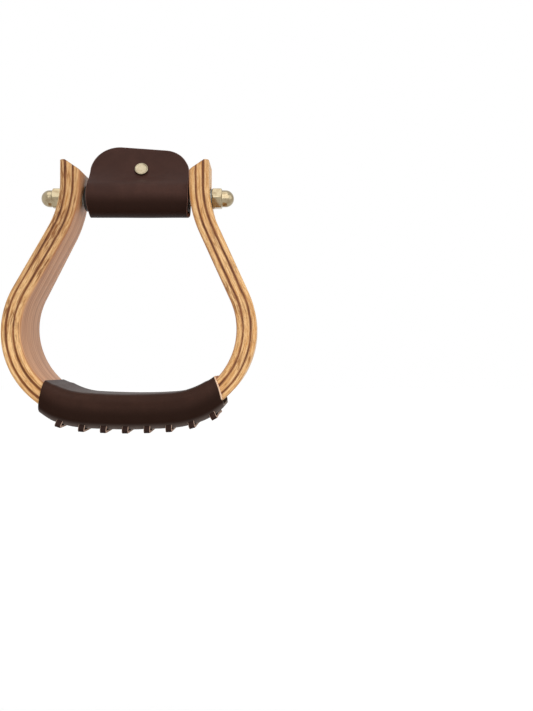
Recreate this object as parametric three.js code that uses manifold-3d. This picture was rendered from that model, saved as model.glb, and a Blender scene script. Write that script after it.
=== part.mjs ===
// A wooden western stirrup: a bow bent from five glued plies, a leather tread laced
// under the sole, and a bolt with domed nuts that carries a sleeve and a leather cover.
// Millimetres. X runs along the bolt, Y from front to back and Z up.
// The origin is the middle of the bolt's axis.

import * as THREE from "three";
import * as BufferGeometryUtils from "three/addons/utils/BufferGeometryUtils.js";
import Module from "manifold-3d";

const wasm = await Module();
wasm.setup();

const degree = Math.PI / 180;

// Bow
const bowWidth = 184.1; // over the widest part of the two lobes
const soleDepth = 63.5; // front to back at the sole
const neckDepth = 38.1; // front to back at the neck
const taperFoot = 19.7; // the bow narrows from this height above its underside
const taperEnd = 0; // up to this height above the bolt's axis
const taperEase = 0.25; // share of that height in which the taper sets in, and ends
const shoulderTop = 10.4; // the left leg turns upright this far above the bolt's axis
const soleShift = -2.8; // the bend is uneven: the sole's middle lies left of the bolt's
const legRise = 25.6; // bolt axis up to the flat tops of the legs
const neckOpening = 79.5; // between the legs' inner faces at the neck
const outerPly = 3.7;
const middlePly = 4.5;
const innerPly = 4.4;
const darkPly = 1; // each of the two thin dark plies
const soleRadius = 450; // the nearly flat middle of the underside
const soleHalfAngle = 4 * degree;
const leftSlant = 28.5 * degree; // lean of each leg between lobe and shoulder
const rightSlant = 24.5 * degree;
const shoulderRadius = 70; // outer face, where the legs turn upright
const bevelDrop = 7.4; // fall of the leg tops towards the inside
const edgeRound = 2.8; // rounding of the bow's four long edges

// Bolt and nuts
const boltDiameter = 9.5;
const boltHoleGap = 0.3; // on the radius, bolt to wood
const nutAcrossFlats = 14.3;
const nutHexLength = 7.2;
const nutLength = 16.1;
const nutDomeDiameter = 12.6;
const nutThreadDepth = 11.4;
const nutChamfer = 0.9;
const threadGap = 0.3; // on the radius, bolt to nut
const boltEndGap = 0.7; // bolt end to the blind end of the nut
const boltPoint = 0.9; // chamfer at the bolt's ends
const washerDiameter = 14.6;
const washerThickness = 1.2;
const spotfaceDepth = 0.3; // flat seat for the washer, below the upright outer face
const spotfaceGap = 0.4; // nut's corners to the seat's wall
const seatGap = 0.3; // between faces that seat on each other

// Sleeve that turns on the bolt
const sleeveDiameter = 19;
const sleeveBoreGap = 0.4; // on the radius, bolt to sleeve
const sleeveEndGap = 0.6; // each end, sleeve to leg
const sleeveChamfer = 0.8;

// Leather cover folded round the sleeve
const coverLeather = 3.2;
const coverLoopGap = 0.8; // on the radius, sleeve to leather
const coverEndGap = 3.2; // each side, leather to leg
const coverHeight = 41.5; // bolt axis to the middle of the top edge
const coverTopSlope = 6.5 * degree; // the top edge falls a little to the right
const coverLeftCorner = 22; // corner radii of the top edge
const coverRightCorner = 16.5;
const coverWaist = 1.1; // the fold is narrower by this on each side
const coverWaistHeight = 5;
const coverClosing = 42 * degree; // how steeply the two plies close above the sleeve
const coverBend = 6; // bend radius where they meet
const coverPlyGap = 0.3; // between the two plies
const coverLean = 22 * degree; // how far the cover lies back at rest

// Rivet through the cover: a post with its screw
const rivetHeight = 23.4; // bolt axis to rivet
const rivetOffset = 2; // to the right of the middle
const rivetHead = 10.2;
const rivetHeadThickness = 1.5;
const rivetRim = 1.1; // width of the raised rim
const rivetDish = 0.4; // depth of the dished middle
const rivetPost = 5; // barrel diameter
const rivetHoleGap = 0.3;
const screwDiameter = 3;
const screwGap = 0.3;
const screwSlot = 1.1;
const screwSlotDepth = 0.6;

// Leather tread
const treadLeather = 3;
const treadEdgeLeather = 1.8; // pared thinner at the two ends
const treadParing = 10; // length of the pared ends
const treadGap = 0.3; // wood to leather on the front, the back and the top
const treadSeam = 4; // between the leather's edges under the sole
const treadShift = 3; // the tread sits to the right of the sole's middle
const treadHalfLength = 66.2; // along the underside of the wood
const treadEndSlant = 10.5; // how much further the leather reaches on top

// Lace that draws the tread together under the sole, measured along the wood
const laceCount = 8; // crossings
const lacePitch = 15.3;
const laceWidth = 4.5;
const laceThickness = 1.7;
const laceShift = 6.4; // middle of the row of crossings, right of the sole's middle
const laceGap = 0.3; // clear of the wood, of the leather and of the holes' walls
const laceHoleLean = 45 * degree; // the holes go through the leather's rounded corners
const laceSlack = 0.5; // how loosely a crossing leaves its holes
const laceTail = 12; // hidden ends, above the leather

// Fineness of the facets
const bowStep = 4 * degree;
const roundSteps = 3;
const laceSteps = 4; // for a quarter turn of the lace
const treadRings = 26;
const revolveSteps = 32;

const bowThickness = outerPly + middlePly + innerPly + 2 * darkPly;
const neckInner = neckOpening / 2;
const neckOuter = neckInner + bowThickness;

const material = {
  lightWood: new THREE.MeshStandardMaterial({ color: 0xd9ab66, roughness: 0.5 }),
  darkWood: new THREE.MeshStandardMaterial({ color: 0x7a4a22, roughness: 0.55 }),
  leather: new THREE.MeshStandardMaterial({ color: 0x3f2b27, roughness: 0.45 }),
  lace: new THREE.MeshStandardMaterial({ color: 0x4a332d, roughness: 0.55 }),
  nickel: new THREE.MeshStandardMaterial({ color: 0xcfc7a8, roughness: 0.25, metalness: 1 }),
  zinc: new THREE.MeshStandardMaterial({ color: 0x9c9a94, roughness: 0.4, metalness: 1 }),
  black: new THREE.MeshStandardMaterial({ color: 0x1c1a19, roughness: 0.5 }),
};

// Closed mesh to solid and back, for cuts and joins.
function toSolid(geometry) {
  const bare = geometry.clone();
  bare.deleteAttribute("normal");
  bare.deleteAttribute("uv");
  const merged = BufferGeometryUtils.mergeVertices(bare, 1e-5);
  const vertProperties = new Float32Array(merged.attributes.position.array);
  const corners = Array.from(merged.index.array);
  const faces = [];
  for (let i = 0; i < corners.length; i += 3) {
    const [a, b, c] = corners.slice(i, i + 3);
    if (a !== b && b !== c && c !== a) faces.push(a, b, c);
  }
  const triVerts = new Uint32Array(faces);
  return new wasm.Manifold(new wasm.Mesh({ numProp: 3, vertProperties, triVerts }));
}

function toGeometry(solid) {
  const mesh = solid.getMesh();
  const geometry = new THREE.BufferGeometry();
  geometry.setAttribute("position", new THREE.BufferAttribute(mesh.vertProperties, 3));
  geometry.setIndex(new THREE.BufferAttribute(mesh.triVerts, 1));
  return geometry;
}

function piece(name, geometry, look) {
  const creased = BufferGeometryUtils.toCreasedNormals(geometry, 35 * degree);
  const mesh = new THREE.Mesh(creased, look);
  mesh.name = name;
  return mesh;
}

// Skin over a row of rings with the same number of points, closed by two end caps.
// The section is the flat outline, in the order of the ring's points.
function loft(rings, section) {
  const count = section.length;
  const positions = rings.flat().flatMap((point) => [point.x, point.y, point.z]);
  const faces = [];
  for (let ring = 0; ring + 1 < rings.length; ring += 1) {
    for (let i = 0; i < count; i += 1) {
      const next = (i + 1) % count;
      const a = ring * count + i;
      const b = ring * count + next;
      faces.push([a, b, b + count], [a, b + count, a + count]);
    }
  }
  const last = (rings.length - 1) * count;
  for (const [a, b, c] of THREE.ShapeUtils.triangulateShape(section, [])) {
    const corners = [section[a], section[b], section[c]];
    const sameTurn = THREE.ShapeUtils.area(corners) * THREE.ShapeUtils.area(section) > 0;
    const [p, q, r] = sameTurn ? [a, b, c] : [a, c, b];
    faces.push([p, r, q], [last + p, last + q, last + r]);
  }
  const inward = volumeOf(positions, faces) < 0;
  const geometry = new THREE.BufferGeometry();
  geometry.setAttribute("position", new THREE.Float32BufferAttribute(positions, 3));
  geometry.setIndex(faces.flatMap(([a, b, c]) => (inward ? [a, c, b] : [a, b, c])));
  return geometry;
}

function volumeOf(positions, faces) {
  const corner = (i) => new THREE.Vector3().fromArray(positions, 3 * i);
  const part = ([a, b, c]) => corner(a).dot(corner(b).cross(corner(c)));
  return faces.reduce((sum, face) => sum + part(face), 0) / 6;
}

// Revolve of a closed outline of [radius, height] points, with its axis along Y.
function revolve(outline) {
  const points = outline.map(([radius, height]) => new THREE.Vector2(radius, height));
  const onAxis = outline[0][0] === 0;
  if (!onAxis) points.push(points[0].clone());
  const lathe = new THREE.LatheGeometry(points, revolveSteps);
  const solid = toSolid(lathe);
  return solid.volume() < 0 ? toSolid(flipped(lathe)) : solid;
}

function flipped(geometry) {
  const turned = geometry.clone();
  const index = turned.index.array;
  for (let i = 0; i < index.length; i += 3) {
    [index[i + 1], index[i + 2]] = [index[i + 2], index[i + 1]];
  }
  return turned;
}

// A solid made along Y, turned to lie along +X or -X.
function alongX(solid, side) {
  return solid.rotate([0, 0, -90 * side]);
}

function box(width, depth, height) {
  return toSolid(new THREE.BoxGeometry(width, depth, height));
}

// Course of the bow's outer face: sole, lobe, slanting leg, shoulder and upright neck.
const soleArc = soleRadius * soleHalfAngle;
const lobeRadius =
  (bowWidth / 2 - soleRadius * Math.sin(soleHalfAngle)) / (1 - Math.sin(soleHalfAngle));

// Shape of one leg from the middle of the sole to the end of the shoulder, with heights from
// the underside of the wood. The side is -1 on the left and 1 on the right.
function legShape(side, slant) {
  const neckX = neckOuter - side * soleShift;
  const bends = (lobeRadius + shoulderRadius) * (1 - Math.cos(slant));
  const slantLength = (bowWidth / 2 - neckX - bends) / Math.sin(slant);
  const course = [{ x: 0, z: 0, heading: 0 }];
  const arc = (radius, turn) => {
    const steps = Math.max(2, Math.ceil(Math.abs(turn) / bowStep));
    const chord = 2 * radius * Math.sin(Math.abs(turn) / steps / 2);
    for (let i = 0; i < steps; i += 1) {
      const from = course.at(-1);
      const middle = from.heading + turn / steps / 2;
      course.push({
        x: from.x + chord * Math.cos(middle),
        z: from.z + chord * Math.sin(middle),
        heading: from.heading + turn / steps,
      });
    }
  };
  arc(soleRadius, soleHalfAngle);
  arc(lobeRadius, 90 * degree - soleHalfAngle + slant);
  const lobeEnd = course.at(-1);
  course.push({
    x: lobeEnd.x + slantLength * Math.cos(lobeEnd.heading),
    z: lobeEnd.z + slantLength * Math.sin(lobeEnd.heading),
    heading: lobeEnd.heading,
  });
  arc(shoulderRadius, -slant);
  return course;
}

// Bolt axis down to the underside of the wood.
const soleDrop = legShape(-1, leftSlant).at(-1).z - shoulderTop;
const taperStart = taperFoot - soleDrop;

// One leg in place, up to its top. The direction inwards is (inX, inZ).
function legCourse(side, slant) {
  const course = legShape(side, slant).map((point) => ({ ...point, z: point.z - soleDrop }));
  course.push({ ...course.at(-1), z: legRise });
  return course.map(({ x, z, heading }) => ({
    x: soleShift + side * x,
    z,
    inX: -side * Math.sin(heading),
    inZ: Math.cos(heading),
  }));
}

// The whole course, from the top of the left leg round to the top of the right leg.
function bowCourse() {
  const left = legCourse(-1, leftSlant).slice(1).reverse();
  return [...left, ...legCourse(1, rightSlant)];
}

// Half of the bow's depth at a height: full at the sole, less towards the neck.
function halfDepth(height) {
  const rise = THREE.MathUtils.clamp((height - taperStart) / (taperEnd - taperStart), 0, 1);
  const ease = (share) => share ** 2 / (2 * taperEase);
  let share = rise - taperEase / 2;
  if (rise < taperEase) share = ease(rise);
  if (rise > 1 - taperEase) share = 1 - taperEase - ease(1 - rise);
  return soleDepth / 2 - ((soleDepth - neckDepth) / 2) * (share / (1 - taperEase));
}

// Section of a ply at the sole, as points of offset from the outer face and depth.
function plySection(from, to, roundFrom, roundTo) {
  const half = soleDepth / 2;
  const radius = Math.min(edgeRound, 0.9 * (to - from));
  const section = [];
  const corner = (offset, y, turn, rounded) => {
    if (!rounded) {
      section.push(new THREE.Vector2(offset, y));
      return;
    }
    const middleOffset = offset + Math.sign((from + to) / 2 - offset) * radius;
    const middleY = y - Math.sign(y) * radius;
    for (let i = 0; i <= roundSteps; i += 1) {
      const angle = turn + (i / roundSteps) * 90 * degree;
      section.push(
        new THREE.Vector2(
          middleOffset + radius * Math.cos(angle),
          middleY + radius * Math.sin(angle),
        ),
      );
    }
  };
  corner(from, -half, 180 * degree, roundFrom);
  corner(to, -half, 270 * degree, roundTo);
  corner(to, half, 0, roundTo);
  corner(from, half, 90 * degree, roundFrom);
  return section;
}

// The leg tops are flat over the outer ply and fall towards the inside from there.
function topHeight(offset) {
  const inside = Math.max(0, offset - outerPly) / (bowThickness - outerPly);
  return legRise - bevelDrop * inside;
}

function bowPly(from, to, roundFrom, roundTo) {
  const section = plySection(from, to, roundFrom, roundTo);
  const course = bowCourse();
  const rings = course.map(({ x, z, inX, inZ }, index) => {
    const atTop = index === 0 || index === course.length - 1;
    return section.map(({ x: offset, y }) => {
      const height = atTop ? topHeight(offset) : z + inZ * offset;
      const narrower = soleDepth / 2 - halfDepth(height);
      return new THREE.Vector3(x + inX * offset, y - Math.sign(y) * narrower, height);
    });
  });
  return toSolid(loft(rings, section));
}

// Nuts and washers seat on flats cut into the outer ply.
const seatX = neckOuter - spotfaceDepth;
const washerX = seatX + seatGap;
const nutX = washerX + washerThickness + seatGap;
const boltHalf = nutX + nutThreadDepth - boltEndGap;
const boltRadius = boltDiameter / 2;
const boltHole = boltRadius + boltHoleGap;
const nutCorner = nutAcrossFlats / 2 / Math.cos(30 * degree);

function bowPieces() {
  const bore = alongX(
    revolve([
      [0, -bowWidth / 2],
      [boltHole, -bowWidth / 2],
      [boltHole, bowWidth / 2],
      [0, bowWidth / 2],
    ]),
    1,
  );
  const seatRadius = nutCorner + spotfaceGap;
  const spotface = (side) =>
    alongX(
      revolve([
        [0, seatX],
        [seatRadius, seatX],
        [seatRadius, bowWidth / 2],
        [0, bowWidth / 2],
      ]),
      side,
    );
  const plies = [
    ["outer_light_ply", outerPly, material.lightWood],
    ["outer_dark_ply", darkPly, material.darkWood],
    ["middle_light_ply", middlePly, material.lightWood],
    ["inner_dark_ply", darkPly, material.darkWood],
    ["inner_light_ply", innerPly, material.lightWood],
  ];
  let offset = 0;
  return plies.map(([name, thickness, look], index) => {
    const first = index === 0;
    const last = index === plies.length - 1;
    let ply = bowPly(offset, offset + thickness, first, last).subtract(bore);
    if (first) ply = ply.subtract(spotface(1)).subtract(spotface(-1));
    offset += thickness;
    return piece(name, toGeometry(ply), look);
  });
}

function boltPieces() {
  const bolt = revolve([
    [0, -boltHalf],
    [boltRadius - boltPoint, -boltHalf],
    [boltRadius, -boltHalf + boltPoint],
    [boltRadius, boltHalf - boltPoint],
    [boltRadius - boltPoint, boltHalf],
    [0, boltHalf],
  ]);
  const washer = revolve([
    [boltHole, washerX],
    [washerDiameter / 2, washerX],
    [washerDiameter / 2, washerX + washerThickness],
    [boltHole, washerX + washerThickness],
  ]);
  const pieces = [piece("stirrup_bolt", toGeometry(alongX(bolt, 1)), material.zinc)];
  for (const [name, side] of [["left", -1], ["right", 1]]) {
    pieces.push(
      piece(`${name}_washer`, toGeometry(alongX(washer, side)), material.zinc),
      piece(`${name}_acorn_nut`, toGeometry(alongX(acornNut(), side)), material.nickel),
    );
  }
  return pieces;
}

// A domed nut along Y from its seat outwards, with a corner of the hexagon to the front.
function acornNut() {
  const flat = nutAcrossFlats / 2;
  const hexagon = new THREE.CylinderGeometry(nutCorner, nutCorner, nutHexLength, 6);
  hexagon.translate(0, nutX + nutHexLength / 2, 0);
  hexagon.rotateY(30 * degree);
  const chamfered = revolve([
    [0, nutX],
    [flat, nutX],
    [nutCorner + 0.1, nutX + nutChamfer],
    [nutCorner + 0.1, nutX + nutHexLength - nutChamfer],
    [flat, nutX + nutHexLength],
    [0, nutX + nutHexLength],
  ]);
  const domeRadius = nutDomeDiameter / 2;
  const domeStart = nutX + nutLength - domeRadius;
  const dome = [
    [0, nutX + nutHexLength / 2],
    [domeRadius, nutX + nutHexLength / 2],
  ];
  const domeSteps = 8;
  for (let i = 0; i < domeSteps; i += 1) {
    const angle = (i / domeSteps) * 90 * degree;
    dome.push([domeRadius * Math.cos(angle), domeStart + domeRadius * Math.sin(angle)]);
  }
  dome.push([0, nutX + nutLength]);
  const threadRadius = boltRadius + threadGap;
  const thread = revolve([
    [0, nutX - seatGap],
    [threadRadius, nutX - seatGap],
    [threadRadius, nutX + nutThreadDepth],
    [0, nutX + nutThreadDepth],
  ]);
  return toSolid(hexagon).intersect(chamfered).add(revolve(dome)).subtract(thread);
}

const sleeveRadius = sleeveDiameter / 2;

function sleevePiece() {
  const half = neckInner - sleeveEndGap;
  const bore = boltRadius + sleeveBoreGap;
  const sleeve = revolve([
    [bore, -half],
    [sleeveRadius - sleeveChamfer, -half],
    [sleeveRadius, -half + sleeveChamfer],
    [sleeveRadius, half - sleeveChamfer],
    [sleeveRadius - sleeveChamfer, half],
    [bore, half],
  ]);
  return piece("roller_sleeve", toGeometry(alongX(sleeve, 1)), material.black);
}

// Side view of the folded leather, drawn upright: first its inner face from the bottom
// of the fold up the back ply, then the outer face, each mirrored for the front ply.
function coverSide() {
  const innerRadius = sleeveRadius + coverLoopGap;
  const closing = coverClosing;
  const straight =
    (innerRadius * Math.cos(closing) - coverBend * (1 - Math.cos(closing)) - coverPlyGap / 2) /
    Math.sin(closing);
  const face = (offset) => {
    const points = [];
    const radius = innerRadius + offset;
    const loopSteps = 12;
    for (let i = 1; i <= loopSteps; i += 1) {
      const angle = (i / loopSteps) * (90 * degree + closing);
      points.push([radius * Math.sin(angle), -radius * Math.cos(angle)]);
    }
    const endY =
      innerRadius * Math.cos(closing) - straight * Math.sin(closing) + coverBend * Math.cos(closing);
    const endZ =
      innerRadius * Math.sin(closing) + straight * Math.cos(closing) + coverBend * Math.sin(closing);
    for (let i = 0; i <= roundSteps; i += 1) {
      const angle = closing * (1 - i / roundSteps);
      points.push([
        endY - (coverBend - offset) * Math.cos(angle),
        endZ - (coverBend - offset) * Math.sin(angle),
      ]);
    }
    points.push([coverPlyGap / 2 + offset, coverHeight * 1.2]);
    return points;
  };
  const mirrored = (points) => points.map(([y, z]) => [-y, z]).reverse();
  const inner = face(0);
  const outer = face(coverLeather);
  const bottom = [0, -innerRadius];
  const outerBottom = [0, -innerRadius - coverLeather];
  return [...mirrored(inner), bottom, ...inner, ...outer.slice().reverse(), outerBottom,
    ...mirrored(outer).reverse()];
}

// Front view of the cover: rounded top corners, a sloping top edge and a narrower fold.
function coverFront() {
  const half = neckInner - coverEndGap;
  const bottom = -(sleeveRadius + coverLoopGap + coverLeather);
  const topAt = (x) => coverHeight - x * Math.tan(coverTopSlope);
  const outline = new THREE.Shape();
  outline.moveTo(half - coverWaist, bottom - 1);
  outline.lineTo(half - coverWaist, bottom);
  outline.lineTo(half, bottom + coverWaistHeight);
  const square = 90 * degree;
  const cornerZ = (x, radius) => topAt(x) - radius / Math.cos(coverTopSlope);
  const rightX = half - coverRightCorner;
  const leftX = -half + coverLeftCorner;
  outline.absarc(rightX, cornerZ(rightX, coverRightCorner), coverRightCorner, 0,
    square - coverTopSlope);
  outline.absarc(leftX, cornerZ(leftX, coverLeftCorner), coverLeftCorner,
    square - coverTopSlope, 2 * square);
  outline.lineTo(-half, bottom + coverWaistHeight);
  outline.lineTo(-half + coverWaist, bottom);
  outline.lineTo(-half + coverWaist, bottom - 1);
  return outline;
}

function coverPieces() {
  const half = neckInner - coverEndGap;
  const side = coverSide().map(([y, z]) => new THREE.Vector2(y, z));
  const ring = (x) => side.map(({ x: y, y: z }) => new THREE.Vector3(x, y, z));
  const folded = toSolid(loft([ring(-half - 1), ring(half + 1)], side));
  const reach = 2 * (sleeveRadius + coverLoopGap + coverLeather);
  const front = new THREE.ExtrudeGeometry(coverFront(), {
    depth: 2 * reach,
    bevelEnabled: false,
    curveSegments: 10,
  });
  front.translate(0, 0, -reach);
  front.rotateX(90 * degree);
  const holeRadius = rivetPost / 2 + rivetHoleGap;
  const hole = revolve([
    [0, -reach],
    [holeRadius, -reach],
    [holeRadius, reach],
    [0, reach],
  ]).translate([rivetOffset, 0, rivetHeight]);
  const cover = folded.intersect(toSolid(front)).subtract(hole);

  const face = coverPlyGap / 2 + coverLeather;
  const headStart = face + seatGap;
  const headEnd = headStart + rivetHeadThickness;
  const headRadius = rivetHead / 2;
  const boreRadius = screwDiameter / 2 + screwGap;
  const postEnd = face - seatGap;
  const boreEnd = -face;
  const post = revolve([
    [0, -headEnd + rivetDish],
    [headRadius - rivetRim, -headEnd + rivetDish],
    [headRadius - rivetRim + rivetDish, -headEnd],
    [headRadius - rivetDish, -headEnd],
    [headRadius, -headEnd + rivetDish],
    [headRadius, -headStart],
    [rivetPost / 2, -headStart],
    [rivetPost / 2, postEnd],
    [boreRadius, postEnd],
    [boreRadius, boreEnd],
    [0, boreEnd],
  ]);
  const screwRadius = screwDiameter / 2;
  const screw = revolve([
    [0, boreEnd + 2 * seatGap],
    [screwRadius, boreEnd + 2 * seatGap],
    [screwRadius, headStart],
    [headRadius, headStart],
    [headRadius, headEnd - rivetDish],
    [headRadius - 2 * rivetDish, headEnd],
    [0, headEnd],
  ]);
  const slot = box(rivetHead * 1.5, 2 * screwSlotDepth, screwSlot).translate([0, headEnd, 0]);

  const group = new THREE.Group();
  group.rotation.x = -coverLean;
  const place = [rivetOffset, 0, rivetHeight];
  group.add(
    piece("bolt_cover", toGeometry(cover), material.leather),
    piece("rivet_post", toGeometry(post.translate(place)), material.nickel),
    piece("rivet_screw", toGeometry(screw.subtract(slot).translate(place)), material.nickel),
  );
  return group;
}

// Place on or round the sole: length along the underside of the wood from its middle,
// offset from that face into the wood, and depth, which follows the bow's taper.
function solePoint(length, offset, y) {
  const heading = Math.abs(soleHeading(length));
  const onLobe = heading > soleHalfAngle;
  const radius = onLobe ? lobeRadius : soleRadius;
  const shift = onLobe ? soleRadius - lobeRadius : 0;
  const out = shift * Math.sin(soleHalfAngle) + (radius - offset) * Math.sin(heading);
  const drop = shift * Math.cos(soleHalfAngle) + (radius - offset) * Math.cos(heading);
  const x = soleShift + Math.sign(length) * out;
  const z = soleRadius - soleDrop - drop;
  return new THREE.Vector3(x, (y * halfDepth(z)) / (soleDepth / 2), z);
}

function soleHeading(length) {
  const beyond = Math.max(0, Math.abs(length) - soleArc);
  const onSole = Math.min(Math.abs(length), soleArc);
  return Math.sign(length) * (onSole / soleRadius + beyond / lobeRadius);
}

// Middle of the leather's lower rounded corners, as depth and distance below the wood. The
// lower edge of each hole lies this much higher than the leather beside it.
const treadSide = soleDepth / 2 + treadGap;
const treadRound = edgeRound + treadGap;
const cornerY = treadSide - treadRound;
const laceBend = laceThickness / 2 + laceGap;
const holeRise =
  treadRound -
  Math.sqrt(treadRound ** 2 - laceBend ** 2) * Math.cos(laceHoleLean) -
  laceBend * Math.sin(laceHoleLean);
const laceBay = 2 * laceBend + holeRise; // room for the lace between wood and leather
const cornerBelow = laceBay - treadRound;

const laceHalfRow = ((laceCount - 1) / 2) * lacePitch;
const lacePlaces = Array.from(
  { length: laceCount },
  (_, i) => laceShift + i * lacePitch - laceHalfRow,
);

// Section of the tread leather round the wood, open at the seam under the sole.
function treadSection(leather) {
  const side = treadSide;
  const top = bowThickness + treadGap;
  const face = (grow) => {
    const radius = treadRound + grow;
    const corner = (offset, y, start) =>
      Array.from({ length: roundSteps + 1 }, (_, i) => {
        const angle = start - (i / roundSteps) * 90 * degree;
        return [offset + radius * Math.cos(angle), y + radius * Math.sin(angle)];
      });
    const low = radius - laceBay - grow;
    const high = top + grow - radius;
    const out = side + grow - radius;
    return [
      [-laceBay - grow, treadSeam / 2],
      ...corner(low, out, 180 * degree),
      ...corner(high, out, 90 * degree),
      ...corner(high, -out, 0),
      ...corner(low, -out, -90 * degree),
      [-laceBay - grow, -treadSeam / 2],
    ];
  };
  return [...face(0), ...face(leather).reverse()].map(([x, y]) => new THREE.Vector2(x, y));
}

function treadPiece() {
  const lowest = -laceBay - treadLeather;
  const height = bowThickness + treadGap + treadLeather - lowest;
  const rings = [];
  for (let ring = 0; ring <= treadRings; ring += 1) {
    const share = (2 * ring) / treadRings - 1;
    const fromEnd = treadHalfLength * (1 - Math.abs(share));
    const pared = Math.max(0, 1 - fromEnd / treadParing) * (treadLeather - treadEdgeLeather);
    rings.push(
      treadSection(treadLeather - pared).map(({ x: offset, y }) => {
        const slant = (treadEndSlant * (offset - lowest)) / height;
        return solePoint(treadShift + share * (treadHalfLength + slant), offset, y);
      }),
    );
  }
  let tread = toSolid(loft(rings, treadSection(treadEdgeLeather)));
  const reach = treadRound + treadLeather / 2;
  for (const place of lacePlaces) {
    for (const side of [-1, 1]) {
      const y = side * (cornerY + reach * Math.sin(laceHoleLean));
      const middle = solePoint(place, -cornerBelow - reach * Math.cos(laceHoleLean), y);
      const slot = box(laceWidth + 2 * laceGap, laceThickness + 2 * laceGap, 2 * treadLeather)
        .rotate([(side * laceHoleLean) / degree, -soleHeading(place) / degree, 0])
        .translate([middle.x, middle.y, middle.z]);
      tread = tread.subtract(slot);
    }
  }
  return piece("tread_leather", toGeometry(tread), material.leather);
}

// Course of the lace: it comes out of a front hole, crosses below the leather, goes in at
// the back hole and runs aslant along the wood to the next front hole. Each point has its
// place along the sole, its depth, its distance below the wood and the way it faces.
function laceCourse() {
  const bend = laceBend;
  const inner = laceBay - holeRise;
  const outer = laceBay + treadLeather + laceSlack;
  // Both bends have their middle on the hole's lower wall, at these distances below.
  const wallY = (below) => {
    const along = (below - cornerBelow - bend * Math.sin(laceHoleLean)) / Math.cos(laceHoleLean);
    return cornerY - bend * Math.cos(laceHoleLean) + along * Math.sin(laceHoleLean);
  };
  const innerY = wallY(inner);
  const outerY = wallY(outer);
  const out = [];
  const turn = (y, below, start, end) => {
    const steps = Math.ceil(((end - start) / 90 / degree) * laceSteps);
    for (let i = 0; i <= steps; i += 1) {
      const angle = start + (i / steps) * (end - start);
      const faceY = -Math.sin(angle);
      const faceBelow = -Math.cos(angle);
      out.push({ y: -y + bend * faceY, below: below + bend * faceBelow, faceY, faceBelow });
    }
  };
  turn(innerY, inner, 0, 90 * degree - laceHoleLean);
  turn(outerY, outer, 90 * degree - laceHoleLean, 180 * degree);
  const crossing = [];
  const crossingSteps = 8;
  for (let i = 1; i < crossingSteps; i += 1) {
    const y = outerY * ((2 * i) / crossingSteps - 1);
    const tight = (laceSlack * (1 + Math.cos((Math.PI * y) / outerY))) / 2;
    crossing.push({ y, below: outer + bend - tight, faceY: 0, faceBelow: 1 });
  }
  const back = out.map((point) => ({ ...point, y: -point.y, faceY: -point.faceY })).reverse();
  const hidden = { below: inner - bend, faceY: 0, faceBelow: -1 };
  const course = [{ ...hidden, place: lacePlaces[0], y: laceTail - innerY }];
  const slantSteps = 4;
  lacePlaces.forEach((place, index) => {
    for (const point of [...out, ...crossing, ...back]) course.push({ ...point, place });
    const last = index === lacePlaces.length - 1;
    for (let i = 1; i < slantSteps && !last; i += 1) {
      const share = i / slantSteps;
      course.push({ ...hidden, place: place + share * lacePitch, y: innerY * (1 - 2 * share) });
    }
  });
  course.push({ ...hidden, place: lacePlaces.at(-1), y: innerY - laceTail });
  return course;
}

// Least gap between stretches of the lace that lie further apart along it than a bend.
function leastGap(rings) {
  const middles = rings.map((ring) =>
    ring.reduce((sum, point) => sum.add(point), new THREE.Vector3()).divideScalar(ring.length),
  );
  const walked = [0];
  for (let i = 1; i < middles.length; i += 1) {
    walked.push(walked[i - 1] + middles[i].distanceTo(middles[i - 1]));
  }
  let least = Infinity;
  rings.forEach((ring, i) => {
    for (let k = i + 1; k < rings.length; k += 1) {
      if (walked[k] - walked[i] < 3 * laceWidth) continue;
      for (const here of ring) {
        for (const there of rings[k]) least = Math.min(least, here.distanceTo(there));
      }
    }
  });
  const length = walked.at(-1).toFixed(0);
  console.log(`Lace: ${length} mm long, least gap to itself ${least.toFixed(2)} mm`);
}

function lacePiece() {
  const half = { width: laceWidth / 2, thickness: laceThickness / 2 };
  const section = [[-1, -1], [1, -1], [1, 1], [-1, 1]];
  const rings = laceCourse().map(({ place, y, below, faceY, faceBelow }) =>
    section.map(([across, facing]) => {
      const away = facing * half.thickness;
      const length = place + across * half.width;
      return solePoint(length, -(below + away * faceBelow), y + away * faceY);
    }),
  );
  leastGap(rings);
  const outline = section.map(([x, y]) => new THREE.Vector2(x, y));
  return piece("tread_lace", loft(rings, outline), material.lace);
}

const stirrup = new THREE.Group();
stirrup.name = "western_stirrup";
stirrup.add(
  ...bowPieces(),
  ...boltPieces(),
  sleevePiece(),
  coverPieces(),
  treadPiece(),
  lacePiece(),
);

export default stirrup;
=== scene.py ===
# %% [markdown]
# A wooden western stirrup, hung upright. Five plies of wood are glued together and bent
# into a bow. A bolt with two domed nuts crosses its neck and carries a black sleeve and a
# folded leather cover, and a leather tread is laced round the sole. The solids and their
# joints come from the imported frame. This file gives every visible piece its smooth shape
# and its finish, in metres, from the same sizes as the solids.

# %% Load the frame
import math

import bmesh
import bpy
import numpy as np
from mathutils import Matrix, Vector, noise


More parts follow.
